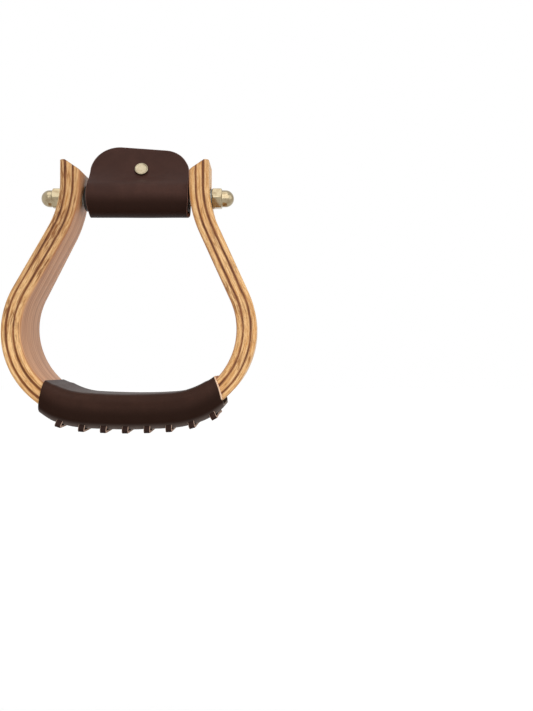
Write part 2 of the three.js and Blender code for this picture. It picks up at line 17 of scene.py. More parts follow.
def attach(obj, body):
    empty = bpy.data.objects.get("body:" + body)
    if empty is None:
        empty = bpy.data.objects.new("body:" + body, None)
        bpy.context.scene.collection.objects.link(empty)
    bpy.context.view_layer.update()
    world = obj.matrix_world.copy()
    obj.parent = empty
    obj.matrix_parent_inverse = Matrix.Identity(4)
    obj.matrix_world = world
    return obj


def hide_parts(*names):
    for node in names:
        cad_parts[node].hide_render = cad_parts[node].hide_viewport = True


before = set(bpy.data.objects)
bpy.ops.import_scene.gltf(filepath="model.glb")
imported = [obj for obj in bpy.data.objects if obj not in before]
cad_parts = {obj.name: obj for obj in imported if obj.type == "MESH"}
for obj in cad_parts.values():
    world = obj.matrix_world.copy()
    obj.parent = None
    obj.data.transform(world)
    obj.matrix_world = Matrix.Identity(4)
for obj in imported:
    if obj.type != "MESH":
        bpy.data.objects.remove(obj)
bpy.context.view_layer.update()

# %% [markdown]
# The camera stands where the photograph was taken from, a little to the right of the
# stirrup and level with its widest part, and looks straight ahead. That keeps the
# picture's upright lines upright, and the stirrup falls into the upper left of the frame.

# %% Camera
mm = 0.001
degree = math.pi / 180

camera_data = bpy.data.cameras.new("photo_camera")
camera_data.sensor_width = 36
camera_data.lens = 44.76
camera = bpy.data.objects.new("photo_camera", camera_data)
camera.location = (96.3 * mm, -661.7 * mm, -117.3 * mm)
camera.rotation_euler = (90 * degree, 0, 0)
bpy.context.scene.collection.objects.link(camera)
bpy.context.scene.camera = camera
print("camera at", tuple(round(x, 4) for x in camera.location))

# %% [markdown]
# These are the sizes that the solids were made from. They are repeated here because each
# smooth piece has to lie exactly where its solid does. Only the two leather parts differ a
# little: their outlines and the tread's crown follow the photograph more closely.

# %% Sizes of the bow
bow_width = 184.1 * mm
sole_depth = 63.5 * mm
neck_depth = 38.1 * mm
taper_foot = 19.7 * mm
taper_end = 0.0
taper_ease = 0.25
shoulder_top = 10.4 * mm
sole_shift = -2.8 * mm
leg_rise = 25.6 * mm
neck_opening = 79.5 * mm
outer_ply = 3.7 * mm
middle_ply = 4.5 * mm
inner_ply = 4.4 * mm
dark_ply = 1.0 * mm
sole_radius = 450 * mm
sole_half_angle = 4 * degree
left_slant = 28.5 * degree
right_slant = 24.5 * degree
shoulder_radius = 70 * mm
bevel_drop = 7.4 * mm
edge_round = 2.8 * mm
bow_thickness = outer_ply + middle_ply + inner_ply + 2 * dark_ply
neck_inner = neck_opening / 2
neck_outer = neck_inner + bow_thickness

# %% Sizes of the bolt, the sleeve and the nuts
bolt_radius = 4.75 * mm
bolt_hole = bolt_radius + 0.3 * mm
seat_gap = 0.3 * mm
nut_across_flats = 14.3 * mm
nut_hex_length = 7.2 * mm
nut_length = 16.1 * mm
nut_dome_radius = 6.3 * mm
nut_chamfer = 0.9 * mm
nut_corner = nut_across_flats / 2 / math.cos(30 * degree)
washer_radius = 7.3 * mm
washer_thickness = 1.2 * mm
seat_x = neck_outer - 0.3 * mm
seat_radius = nut_corner + 0.4 * mm
washer_x = seat_x + seat_gap
nut_x = washer_x + washer_thickness + seat_gap
sleeve_radius = 9.5 * mm
sleeve_bore = bolt_radius + 0.4 * mm
sleeve_half = neck_inner - 0.6 * mm
sleeve_chamfer = 0.8 * mm

# %% Sizes of the cover and its rivet
cover_leather = 3.2 * mm
cover_loop = sleeve_radius + 0.8 * mm
cover_left = neck_inner - 3.2 * mm
cover_right = neck_inner - 2.35 * mm
cover_flare = 1.25 * mm
cover_sag = 0.05
cover_width = cover_left + cover_right
cover_height = 42.7 * mm
cover_top_slope = 4.7 * degree
cover_left_corner = 21 * mm
cover_right_corner = 19 * mm
cover_waist = 1.1 * mm
cover_waist_height = 5 * mm
pinched_fold = (40 * degree, 13 * mm)
open_fold = (30 * degree, 38 * mm)
pinch_start = 7 * mm
pinch_end = 26 * mm
cover_ply_gap = 0.3 * mm
cover_lean = 22 * degree
rivet_height = 23.4 * mm
rivet_offset = 2 * mm
rivet_radius = 5.1 * mm
rivet_thickness = 1.5 * mm
rivet_rim = 1.1 * mm
rivet_dish = 0.4 * mm
rivet_post = 2.5 * mm
screw_slot = 1.1 * mm
screw_slot_depth = 0.6 * mm

# %% Sizes of the tread and its lace
tread_leather = 3 * mm
tread_edge_leather = 1.8 * mm
tread_paring = 10 * mm
tread_gap = 0.3 * mm
tread_seam = 4 * mm
tread_front_crown = 1.9 * mm
tread_back_crown = 0.9 * mm
tread_back_paring = 1.0 * mm
tread_shift = 3 * mm
tread_half_length = 65.6 * mm
tread_end_slant = 12.2 * mm
lace_count = 8
lace_pitch = 15.3 * mm
lace_width = 4.5 * mm
lace_thickness = 1.7 * mm
lace_shift = 6.4 * mm
lace_gap = 0.3 * mm
lace_hole_lean = 45 * degree
lace_slack = 0.5 * mm
lace_tail = 12 * mm
tread_side = sole_depth / 2 + tread_gap
tread_round = edge_round + tread_gap
corner_y = tread_side - tread_round
lace_bend = lace_thickness / 2 + lace_gap
hole_rise = (
    tread_round
    - math.sqrt(tread_round**2 - lace_bend**2) * math.cos(lace_hole_lean)
    - lace_bend * math.sin(lace_hole_lean)
)
lace_bay = 2 * lace_bend + hole_rise
corner_below = lace_bay - tread_round
print(f"bow {bow_thickness / mm:.1f} mm thick, room for the lace {lace_bay / mm:.2f} mm")

# %% [markdown]
# Node trees grow fast when every sum needs a node. This small class wraps a socket, so
# that a formula can be written as one: adding, multiplying and so on add Math nodes. The
# same class serves the materials and the Geometry Nodes.

# %% Formulas that become nodes
class Wire:
    """An output socket that can be used in a formula."""

    def __init__(self, nodes, socket):
        self.nodes, self.socket = nodes, socket

    def math(self, operation, *values):
        sockets = dict(enumerate([self, *values]))
        return self.nodes.add("ShaderNodeMath", {"operation": operation}, sockets)[0]

    def __add__(self, other):
        return self.math("ADD", other)

    def __sub__(self, other):
        return self.math("SUBTRACT", other)

    def __mul__(self, other):
        return self.math("MULTIPLY", other)

    def __truediv__(self, other):
        return self.math("DIVIDE", other)

    def __rsub__(self, other):
        sockets = {0: other, 1: self}
        return self.nodes.add("ShaderNodeMath", {"operation": "SUBTRACT"}, sockets)[0]

    def __abs__(self):
        return self.math("ABSOLUTE")

    __radd__ = __add__
    __rmul__ = __mul__

    def clamped(self):
        return self.nodes.add("ShaderNodeClamp", {}, {"Value": self})[0]

    def step(self, low, high):
        """0 at low, 1 at high and a smooth step between them. Low may be the greater."""
        sockets = {"Value": self, "From Min": low, "From Max": high}
        settings = {"interpolation_type": "SMOOTHSTEP"}
        return self.nodes.add("ShaderNodeMapRange", settings, sockets)[0]


class Made:
    """A node that was added. Its outputs are found by name or number."""

    def __init__(self, nodes, node):
        self.nodes, self.node = nodes, node

    def __getitem__(self, key):
        return Wire(self.nodes, socket_of(self.node.outputs, key))


class Nodes:
    """Adds nodes to one tree."""

    def __init__(self, tree):
        self.tree = tree

    def add(self, kind, settings=None, sockets=None):
        node = self.tree.nodes.new(kind)
        for name, value in (settings or {}).items():
            if name == "captures":
                for data_type, item in value:
                    node.capture_items.new(data_type, item)
            else:
                setattr(node, name, value)
        for key, value in (sockets or {}).items():
            socket = socket_of(node.inputs, key)
            if isinstance(value, Wire):
                self.tree.links.new(value.socket, socket)
            else:
                socket.default_value = value
        return Made(self, node)

    def xyz(self, x, y, z):
        return self.add("ShaderNodeCombineXYZ", {}, {"X": x, "Y": y, "Z": z})[0]

    def split(self, vector):
        parts = self.add("ShaderNodeSeparateXYZ", {}, {"Vector": vector})
        return parts["X"], parts["Y"], parts["Z"]

    def place(self):
        """Where a point lies on the object, as three numbers in metres."""
        return self.split(self.add("ShaderNodeTexCoord")["Object"])

    def attribute(self, name, output="Fac"):
        return self.add("ShaderNodeAttribute", {"attribute_name": name})[output]

    def mix(self, low, high, share):
        sockets = {"A_Color": low, "B_Color": high, "Factor_Float": share}
        return self.add("ShaderNodeMix", {"data_type": "RGBA"}, sockets)["Result_Color"]


def socket_of(sockets, key):
    if isinstance(key, int):
        return sockets[key]
    for socket in sockets:
        if socket.identifier == key or (socket.name == key and socket.enabled):
            return socket
    raise KeyError(f"no socket {key!r} among {[s.name for s in sockets]}")


# %% [markdown]
# Every finished piece is a plain mesh whose object stays at the origin. These helpers put
# a mesh into the scene, hand it to its body and say which solid it stands for.

# %% Helpers for pieces
def mesh_object(name, points, faces, edges=()):
    mesh = bpy.data.meshes.new(name)
    mesh.from_pydata([tuple(p) for p in points], list(edges), [tuple(f) for f in faces])
    thing = bpy.data.objects.new(name, mesh)
    bpy.context.scene.collection.objects.link(thing)
    return thing


def path_object(name, points):
    """A line through the points, along which Geometry Nodes can sweep a profile."""
    return mesh_object(name, points, [], [(i, i + 1) for i in range(len(points) - 1)])


def tidied(thing):
    """Merges doubles and turns every face outwards."""
    work = bmesh.new()
    work.from_mesh(thing.data)
    bmesh.ops.remove_doubles(work, verts=work.verts, dist=0.0001 * mm)
    bmesh.ops.recalc_face_normals(work, faces=work.faces)
    work.to_mesh(thing.data)
    work.free()
    return thing


def settled(thing):
    """Turns what the modifiers make into the thing's own plain mesh."""
    graph = bpy.context.evaluated_depsgraph_get()
    plain = bpy.data.meshes.new_from_object(thing.evaluated_get(graph))
    thing.modifiers.clear()
    thing.data = plain
    return thing


def smoothed(thing, angle):
    """Smooth shading, with a sharp edge wherever two faces meet at more than the angle."""
    thing.data.shade_smooth()
    thing.data.set_sharp_from_angle(angle=angle)
    return thing


def points_of(mesh):
    flat = np.zeros(3 * len(mesh.vertices), np.float32)
    mesh.vertices.foreach_get("co", flat)
    return flat.reshape(-1, 3).astype(float)


def keep_attribute(mesh, name, kind, values):
    attribute = mesh.attributes.new(name, kind, "POINT")
    key = "vector" if kind == "FLOAT_VECTOR" else "value"
    attribute.data.foreach_set(key, np.asarray(values, np.float32).ravel())


def dressed(thing, body, slot, look, *nodes):
    """Gives a finished piece its look and its body, and names the solid it stands for."""
    thing.data.materials.clear()
    thing.data.materials.append(look)
    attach(thing, body)
    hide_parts(*nodes)
    places = points_of(thing.data)
    size = ", ".join(f"{x / mm:.1f}" for x in places.max(0) - places.min(0))
    print(f"{thing.name}: {len(thing.data.polygons)} faces, {size} mm, for {', '.join(nodes)}")
    return thing


# %% [markdown]
# Colours are written as they look in a photograph, in sRGB, and turned into the linear
# values that the shaders count with. Patterns come from noise, and the three scales of a
# noise say how many waves fit into a metre along each way: a low one stretches the pattern.

# %% Colours, noise and relief
def linear(red, green, blue):
    def channel(value):
        value /= 255
        return value / 12.92 if value <= 0.04045 else ((value + 0.055) / 1.055) ** 2.4

    return (channel(red), channel(green), channel(blue), 1)


def new_material(name):
    material = bpy.data.materials.new(name)
    material.use_nodes = True
    material.node_tree.nodes.clear()
    return material, Nodes(material.node_tree)


def finish_material(nodes, sockets):
    shader = nodes.add("ShaderNodeBsdfPrincipled", {}, sockets)
    nodes.add("ShaderNodeOutputMaterial", {}, {"Surface": shader["BSDF"]})


def texture_noise(nodes, place, scales, detail=3.0, roughness=0.55):
    """Noise at a place of three numbers, with one scale for each of them."""
    vector = nodes.xyz(*(part * scale for part, scale in zip(place, scales)))
    sockets = {"Vector": vector, "Scale": 1.0, "Detail": detail, "Roughness": roughness}
    return nodes.add("ShaderNodeTexNoise", {}, sockets)["Fac"]


def bump(nodes, height, distance, below=None):
    """Relief of this depth, on top of another relief where one is given."""
    sockets = {"Height": height, "Distance": distance, "Strength": 1.0}
    if below is not None:
        sockets["Normal"] = below
    return nodes.add("ShaderNodeBump", {}, sockets)["Normal"]


# %% [markdown]
# The plies are rotary-cut veneer under a clear satin varnish. Their fibres follow the bend,
# so the pattern can't be laid out along X, Y and Z. Each ply carries an attribute instead:
# the place along the bow, the depth into it and the place from front to back. Noise that is
# stretched along the first of these gives fibres, and finer noise gives the short dark pores
# that show on the plies' edges. Glue has darkened the wood beside the joints, the broad
# inner face is a redder veneer, and the sawn tops of the legs show end grain. The upper legs
# are darker than the rest, the left one most, as photographed.

# %% Wood of the plies
glue_lines = (
    outer_ply, outer_ply + dark_ply,
    bow_thickness - inner_ply - dark_ply, bow_thickness - inner_ply,
)
glue_darkened, edge_shown = (0.1 * mm, 0.95 * mm), (0.3 * mm, 1.2 * mm)
inner_veneer = (bow_thickness - 1.3 * mm, bow_thickness - 0.2 * mm)
darkening_starts, darkening_full = -135 * mm, -20 * mm
right_leg_darkening, darkening_change = 0.35, 20 * mm


def wood(name, pale, deep, streak, light):
    """Wood of a pale and a deep tone with dark streaks. Light wood shows its glue lines."""
    material, nodes = new_material(name)
    grain = nodes.split(nodes.attribute("grain", "Vector"))
    along, depth, across = grain
    drift = (texture_noise(nodes, grain, (16, 60, 14), 2.0) - 0.5) * 1.6 * mm
    drifting = (along, depth + drift, across + drift)

    def fibres(length, thick, wide, detail=3.0):
        return texture_noise(nodes, drifting, (length, thick, wide), detail, 0.6)

    broad = fibres(14, 330, 95)
    fine = fibres(120, 1150, 520, 4.0)
    pores = fibres(190, 1900, 1700, 2.0)
    lines = fibres(4, 1250, 420)
    tone = broad.step(0.36, 0.62) * 0.4 + fine.step(0.36, 0.62) * 0.6
    colour = nodes.mix(deep, pale, tone)
    colour = nodes.mix(colour, streak, lines.step(0.47, 0.34) * 0.5)

    # The upper legs are made darker, the left leg most, mostly on the plies' edges.
    x, _, z = nodes.place()
    upper_darkening = 1 - (1 - right_leg_darkening) * x.step(-darkening_change, darkening_change)
    upper_darkening = z.step(darkening_starts, darkening_full) * upper_darkening
    patches = texture_noise(nodes, grain, (45, 130, 30), 2.0)
    blotch = patches.step(0.58 - 0.2 * upper_darkening, 0.74 - 0.16 * upper_darkening)
    ply_edge = depth.step(*edge_shown)
    dark = fine.step(0.62, 0.42) * blotch * (0.12 + 0.88 * ply_edge)
    colour = nodes.mix(colour, streak, dark * 0.75)
    colour = nodes.mix(colour, streak, upper_darkening * ply_edge * 0.28)
    colour = nodes.mix(colour, streak, pores.step(0.43, 0.33) * 0.45)

    if light:
        clear = 1.0
        for line in glue_lines:
            clear = clear * abs(depth - line).step(*glue_darkened)
        glued = (1 - clear) * (0.35 + 0.65 * broad.step(0.62, 0.4))
        colour = nodes.mix(colour, streak, glued * 0.9)
        inner_face = depth.step(*inner_veneer)
        rows = fibres(7, 0.0, 560, 2.0).step(0.4, 0.6)
        veneer = nodes.mix(linear(180, 122, 80), linear(212, 158, 114), rows)
        colour = nodes.mix(colour, veneer, inner_face)

    ends = nodes.attribute("end_grain")
    rings = texture_noise(nodes, grain, (500, 1500, 700)).step(0.35, 0.65)
    finish_material(nodes, {
        "Base Color": nodes.mix(colour, streak, ends * (0.25 + 0.5 * rings)),
        "Roughness": 0.38 + 0.14 * fine + 0.2 * ends,
        "Normal": bump(nodes, fine * 0.5 + pores.step(0.27, 0.42) * 0.5, 0.04 * mm),
        "Specular IOR Level": 0.16,
        "Coat Weight": 0.06 - 0.05 * ends,
        "Coat Roughness": 0.2,
    })
    return material


woods = {
    "light_wood": wood(
        "varnished_light_wood", linear(242, 200, 144), linear(196, 138, 76),
        linear(112, 60, 24), True,
    ),
    "dark_wood": wood(
        "varnished_dark_wood", linear(142, 84, 44), linear(84, 44, 20),
        linear(58, 30, 14), False,
    ),
}
print("wood ready:", ", ".join(look.name for look in woods.values()))

# %% [markdown]
# The bend of the bow is one course: a nearly flat sole, a round lobe, a slanting leg, a
# shoulder that turns the other way, and an upright neck. The same steps as in the solids
# are walked here in much shorter chords.

# %% Course of the bow
sole_arc = sole_radius * sole_half_angle
lobe_radius = (bow_width / 2 - sole_radius * math.sin(sole_half_angle)) / (
    1 - math.sin(sole_half_angle)
)
below_bevel = 0.8 * mm


def leg_shape(side, slant):
    """Places and headings from the middle of the sole up to the end of the shoulder."""
    neck_x = neck_outer - side * sole_shift
    bends = (lobe_radius + shoulder_radius) * (1 - math.cos(slant))
    straight = (bow_width / 2 - neck_x - bends) / math.sin(slant)
    walk = [(0.0, 0.0, 0.0)]

    def arc(radius, turn):
        steps = max(6, math.ceil(abs(turn) / degree))
        chord = 2 * radius * math.sin(abs(turn) / steps / 2)
        for _ in range(steps):
            x, z, heading = walk[-1]
            middle = heading + turn / steps / 2
            walk.append((
                x + chord * math.cos(middle),
                z + chord * math.sin(middle),
                heading + turn / steps,
            ))

    arc(sole_radius, sole_half_angle)
    arc(lobe_radius, 90 * degree - sole_half_angle + slant)
    x, z, heading = walk[-1]
    pieces = 20
    for i in range(1, pieces + 1):
        reach = straight * i / pieces
        walk.append((x + reach * math.cos(heading), z + reach * math.sin(heading), heading))
    arc(shoulder_radius, -slant)
    return walk


sole_drop = leg_shape(-1, left_slant)[-1][1] - shoulder_top
taper_start = taper_foot - sole_drop


def leg_course(side, slant):
    walk = [(x, z - sole_drop, heading) for x, z, heading in leg_shape(side, slant)]
    x, z, heading = walk[-1]
    last_full = leg_rise - bevel_drop - below_bevel
    rings = max(2, math.ceil((last_full - z) / mm))
    for i in range(1, rings + 1):
        walk.append((x, z + (last_full - z) * i / rings, heading))
    walk.append((x, leg_rise, heading))
    return [
        (sole_shift + side * x, z, -side * math.sin(heading), math.cos(heading))
        for x, z, heading in walk
    ]


def lengths_along(path):
    """How far along a path each of its points lies."""
    return np.concatenate([[0], np.cumsum(np.linalg.norm(np.diff(path, axis=0), axis=1))])


course = np.array(leg_course(-1, left_slant)[:0:-1] + leg_course(1, right_slant))
course_lengths = lengths_along(course[:, :2])
print(f"course {course_lengths[-1] / mm:.0f} mm long in {len(course)} steps")

# %% [markdown]
# One formula tells how deep the bow is at a height: full at the sole, then narrower, with a
# soft start and end. It uses only plus, minus, times, divide and abs, so it works on plain
# numbers and, through Wire, as Math nodes inside Geometry Nodes.

# %% Taper and bevelled tops, as formulas
bow_sizes = {
    "Sole depth": sole_depth,
    "Neck depth": neck_depth,
    "Taper start": taper_start,
    "Taper end": taper_end,
    "Taper ease": taper_ease,
    "Leg rise": leg_rise,
    "Bevel drop": bevel_drop,
    "Outer ply": outer_ply,
    "Bow thickness": bow_thickness,
}


def positive(value):
    return (value + abs(value)) / 2


def half_depth(height, size):
    ease = size["Taper ease"]
    rise = (height - size["Taper start"]) / (size["Taper end"] - size["Taper start"])
    rise = (abs(rise) - abs(rise - 1) + 1) / 2
    before = positive(ease - rise)
    after = positive(rise + ease - 1)
    share = rise - ease / 2 + (before * before - after * after) / (2 * ease)
    narrower = (size["Sole depth"] - size["Neck depth"]) * share / (1 - ease)
    return (size["Sole depth"] - narrower) / 2


def top_height(offset, size):
    inside = positive(offset - size["Outer ply"])
    slope = size["Bevel drop"] / (size["Bow thickness"] - size["Outer ply"])
    return size["Leg rise"] - slope * inside


print(f"depth at the neck {2 * half_depth(0.0, bow_sizes) / mm:.1f} mm")

# %% [markdown]
# Each ply is a strip swept along the course, so Geometry Nodes suit it: Curve to Mesh makes
# the sweep, Fillet Curve rounds the bow's long edges, and Set Position applies the taper
# and cuts the leg tops. Five modifiers with different sizes make the five plies.

# %% Geometry Nodes for a swept ply
def new_tree(name, sizes):
    tree = bpy.data.node_groups.new(name, "GeometryNodeTree")
    tree.interface.new_socket("Geometry", in_out="INPUT", socket_type="NodeSocketGeometry")
    for size in sizes:
        tree.interface.new_socket(size, in_out="INPUT", socket_type="NodeSocketFloat")
    tree.interface.new_socket("Finish", in_out="INPUT", socket_type="NodeSocketMaterial")
    tree.interface.new_socket("Geometry", in_out="OUTPUT", socket_type="NodeSocketGeometry")
    return tree, Nodes(tree)


def close_tree(nodes, group, geometry):
    real = nodes.add("GeometryNodeRealizeInstances", {}, {"Geometry": geometry})[0]
    sockets = {"Geometry": real, "Material": group["Finish"]}
    painted = nodes.add("GeometryNodeSetMaterial", {}, sockets)[0]
    nodes.add("NodeGroupOutput", {}, {"Geometry": painted})


def apply_tree(thing, tree, values):
    """Runs the tree with these sizes on the thing and keeps the result as a plain mesh."""
    modifier = thing.modifiers.new(tree.name, "NODES")
    modifier.node_group = tree
    for item in tree.interface.items_tree:
        if item.in_out == "INPUT" and item.name in values:
            modifier[item.identifier] = values[item.name]
    return settled(thing)


def rounded_profile(nodes, width, height, radius, count):
    """A rectangle with rounded corners, to be swept along a course."""
    outline = nodes.add(
        "GeometryNodeCurvePrimitiveQuadrilateral", {}, {"Width": width, "Height": height}
    )[0]
    return nodes.add(
        "GeometryNodeFilletCurve", {"mode": "POLY"},
        {"Curve": outline, "Radius": radius, "Count": count},
    )[0]


def captured(nodes, geometry, name, value):
    """Keeps a value on a curve's points, so that it is still known after the sweep."""
    return nodes.add(
        "GeometryNodeCaptureAttribute", {"captures": [("FLOAT", name)]},
        {"Geometry": geometry, name: value},
    )


def swept(nodes, curve, profile):
    sockets = {"Curve": curve, "Profile Curve": profile, "Fill Caps": True}
    return nodes.add("GeometryNodeCurveToMesh", {}, sockets)[0]


def ply_tree():
    sizes = ["From", "Thickness", "Round outside", "Round inside", *bow_sizes]
    tree, nodes = new_tree("swept_ply", sizes)
    group = nodes.add("NodeGroupInput")
    x, y, z = nodes.split(nodes.add("GeometryNodeInputPosition")[0])
    line = nodes.add("GeometryNodeMeshToCurve", {}, {"Mesh": group["Geometry"]})[0]
    ends = nodes.add("GeometryNodeCurveEndpointSelection")[0]
    curve = captured(nodes, line, "Ends", ends)

    outside, inside = group["Round outside"], group["Round inside"]
    radius = outside + x.math("GREATER_THAN", 0.0) * (inside - outside)
    outline = rounded_profile(nodes, group["Thickness"], group["Sole depth"], radius, 7)
    aside = nodes.xyz(group["From"] + group["Thickness"] / 2, 0.0, 0.0)
    sockets = {"Geometry": outline, "Offset": aside}
    placed = nodes.add("GeometryNodeSetPosition", {}, sockets)[0]
    profile = captured(nodes, placed, "Offset", x)

    height = z + curve["Ends"] * (top_height(profile["Offset"], group) - z)
    narrower = group["Sole depth"] / 2 - half_depth(height, group)
    place = nodes.xyz(x, y - y.math("SIGN") * narrower, height)
    sockets = {"Geometry": swept(nodes, curve[0], profile[0]), "Position": place}
    shaped = nodes.add("GeometryNodeSetPosition", {}, sockets)[0]
    sockets = {"Geometry": shaped, "Distance": 0.001 * mm}
    close_tree(nodes, group, nodes.add("GeometryNodeMergeByDistance", {}, sockets)[0])
    return tree


swept_ply = ply_tree()
print("tree", swept_ply.name, "with", len(swept_ply.nodes), "nodes")

# %% [markdown]
# The bolt's hole and the flat seats of the washers are drilled after the sweep, as they are
# on the real bow, with a Boolean modifier. Then the sawn rims of the leg tops are eased by
# half a millimetre, and each ply gets its grain attribute.

# %% Drills for the hole and the seats
def ring_faces(first, second, steps):
    """Faces between two rings of points, which are given by their numbers."""
    one, two = first * steps, second * steps
    return [
        (one + k, one + (k + 1) % steps, two + (k + 1) % steps, two + k)
        for k in range(steps)
    ]


def turned(name, outline, steps=96):
    """Revolves a closed outline of (radius, x) points round the X axis."""
    points, faces = [], []
    for radius, x in outline:
        for k in range(steps):
            angle = 2 * math.pi * k / steps
            points.append((x, radius * math.cos(angle), radius * math.sin(angle)))
    for i in range(len(outline)):
        j = (i + 1) % len(outline)
        if outline[i][0] > 0 or outline[j][0] > 0:
            faces.extend(ring_faces(i, j, steps))
    return tidied(mesh_object(name, points, faces))


def rod(name, radius, start, end):
    return turned(name, [(0, start), (radius, start), (radius, end), (0, end)], 64)


def cut(thing, drill):
    modifier = thing.modifiers.new("drill", "BOOLEAN")
    modifier.operation, modifier.object, modifier.solver = "DIFFERENCE", drill, "MANIFOLD"
    settled(thing)
    bpy.data.objects.remove(drill)
    return thing


def grain_of(points):
    """Place along the bow, depth into it and place from front to back, for each point."""
    flat = points[:, [0, 2]]
    starts, ends = course[:-1, :2], course[1:, :2]
    runs = ends - starts
    lengths = np.linalg.norm(runs, axis=1)
    best = np.full(len(points), np.inf)
    along = np.zeros(len(points))
    depth = np.zeros(len(points))
    for i, (start, run, length) in enumerate(zip(starts, runs, lengths)):
        share = np.clip(((flat - start) @ run) / length**2, 0, 1)
        away = flat - start - share[:, None] * run
        distance = np.linalg.norm(away, axis=1)
        nearer = distance < best
        best[nearer] = distance[nearer]
        along[nearer] = course_lengths[i] + share[nearer] * length
        depth[nearer] = (away @ course[i, 2:])[nearer]
    return np.stack([along, depth, points[:, 1]], axis=1)


def eased_tops(thing, width):
    """Rounds the outer rims of the sawn leg tops."""
    lowest, near = leg_rise - bevel_drop - 0.01 * mm, 0.05 * mm
    work = bmesh.new()
    work.from_mesh(thing.data)
    rims = []
    for edge in work.edges:
        if len(edge.link_faces) != 2 or min(v.co.z for v in edge.verts) <= lowest:
            continue
        cap, wall = sorted(edge.link_faces, key=lambda face: -face.normal.z)
        if cap.normal.z < 0.6 or abs(wall.normal.z) > 0.3:
            continue
        side = abs(sum(v.co.x for v in edge.verts)) / 2
        outside = side > neck_outer - near or side < neck_inner + near
        if abs(wall.normal.y) > 0.2 or outside:
            rims.append(edge)
    bmesh.ops.bevel(
        work, geom=rims, offset=width, segments=3, profile=0.5, affect="EDGES",
        clamp_overlap=True,
    )
    work.to_mesh(thing.data)
    work.free()
    return thing


# %% The five plies
plies = [
    ("outer_light_ply", outer_ply, "light_wood"),
    ("outer_dark_ply", dark_ply, "dark_wood"),
    ("middle_light_ply", middle_ply, "light_wood"),
    ("inner_dark_ply", dark_ply, "dark_wood"),
    ("inner_light_ply", inner_ply, "light_wood"),
]
course_points = [(x, 0, z) for x, z, _, _ in course]
end_grain_reach = 0.6 * mm
offset = 0.0
for number, (node, thickness, slot) in enumerate(plies):
    ply = path_object(f"{node}_wood", course_points)
    apply_tree(ply, swept_ply, {
        **bow_sizes,
        "From": offset,
        "Thickness": thickness,
        "Round outside": edge_round if number == 0 else 0.0,
        "Round inside": edge_round if number == len(plies) - 1 else 0.0,
        "Finish": woods[slot],
    })
    cut(tidied(ply), rod("bore", bolt_hole, -bow_width, bow_width))
    if number == 0:
        for side in (-1, 1):
            cut(ply, rod("seat", seat_radius, side * seat_x, side * bow_width))
    eased_tops(ply, 0.5 * mm)
    places = points_of(ply.data)
    grain = grain_of(places)
    keep_attribute(ply.data, "grain", "FLOAT_VECTOR", grain)
    from_top = top_height(grain[:, 1], bow_sizes) - places[:, 2]
    end_grain = np.clip(1 - from_top / end_grain_reach, 0, 1)
    keep_attribute(ply.data, "end_grain", "FLOAT", end_grain)
    dressed(smoothed(ply, 28 * degree), "bow", slot, woods[slot], node)
    offset += thickness

# %% [markdown]
# The nuts are polished nickel with a slightly warm cast, the rivet is the same but rubbed
# duller, and the washers and the bolt are zinc-plated. Polished metal is mostly what it
# mirrors, so these finishes only need a little haze: fine scratches in the bump and blotches
# of duller metal. The sleeve is black plastic with the faint rings that turning leaves.

# %% Metal and black plastic
def metal(name, bright, dull, roughness, scratch, worn):
    """Metal with scratches of this depth, and dull blotches where it is worn."""
    material, nodes = new_material(name)
    place = nodes.place()
    tarnish = texture_noise(nodes, place, (260, 260, 260)).step(0.4, 0.7) * worn
    fine = texture_noise(nodes, place, (5200, 900, 900), 2.0)
    pits = texture_noise(nodes, place, (2600, 2600, 2600), 2.0)
    finish_material(nodes, {
        "Base Color": nodes.mix(bright, dull, tarnish),
        "Metallic": 1.0,
        "Roughness": roughness + 0.05 * tarnish + 0.04 * fine,
        "Normal": bump(nodes, fine * 0.7 + pits * 0.3, scratch),
    })
    return material


def black_plastic(name):
    material, nodes = new_material(name)
    place = nodes.place()
    rings = texture_noise(nodes, place, (3000, 120, 120), 2.0)
    specks = texture_noise(nodes, place, (1500, 1500, 1500))
    tone = nodes.mix(linear(24, 22, 21), linear(44, 42, 40), specks.step(0.45, 0.7))
    finish_material(nodes, {
        "Base Color": tone,
        "Roughness": 0.38 + 0.2 * rings,
        "Normal": bump(nodes, rings * 0.6 + specks * 0.4, 0.03 * mm),
        "Specular IOR Level": 0.4,
    })
    return material


nickel = metal(
    "polished_nickel", linear(168, 154, 126), linear(136, 116, 88), 0.14, 0.003 * mm, 0.7
)
rivet_nickel = metal(
    "rubbed_nickel", linear(158, 147, 124), linear(136, 122, 98), 0.22, 0.004 * mm, 0.6
)
zinc = metal("zinc_plate", linear(140, 138, 130), linear(118, 115, 108), 0.34, 0.01 * mm, 1.0)
plastic = black_plastic("satin_black_plastic")
print("metal and plastic ready")

# %% [markdown]
# A domed nut is a hexagon whose corners are cut by a cone at each end, with a dome on top.
# Instead of cutting solids, its rings are worked out: at each angle the radius is the
# hexagon's or the cone's, whichever is less, with a soft change between them. That gives
# clean faces and slightly worn edges in one closed mesh.

# %% Domed nuts
def softer_least(a, b, blur):
    """The lesser of a and b, rounded where they are nearly the same."""
    near = np.clip(0.5 + (b - a) / (2 * blur), 0, 1)
    return b * (1 - near) + a * near - blur * near * (1 - near)


nut_fillet = 0.6 * mm
nut_mouth_rim = 0.15 * mm
nut_wear = 0.12 * mm
nut_corner_blur = 0.25 * mm


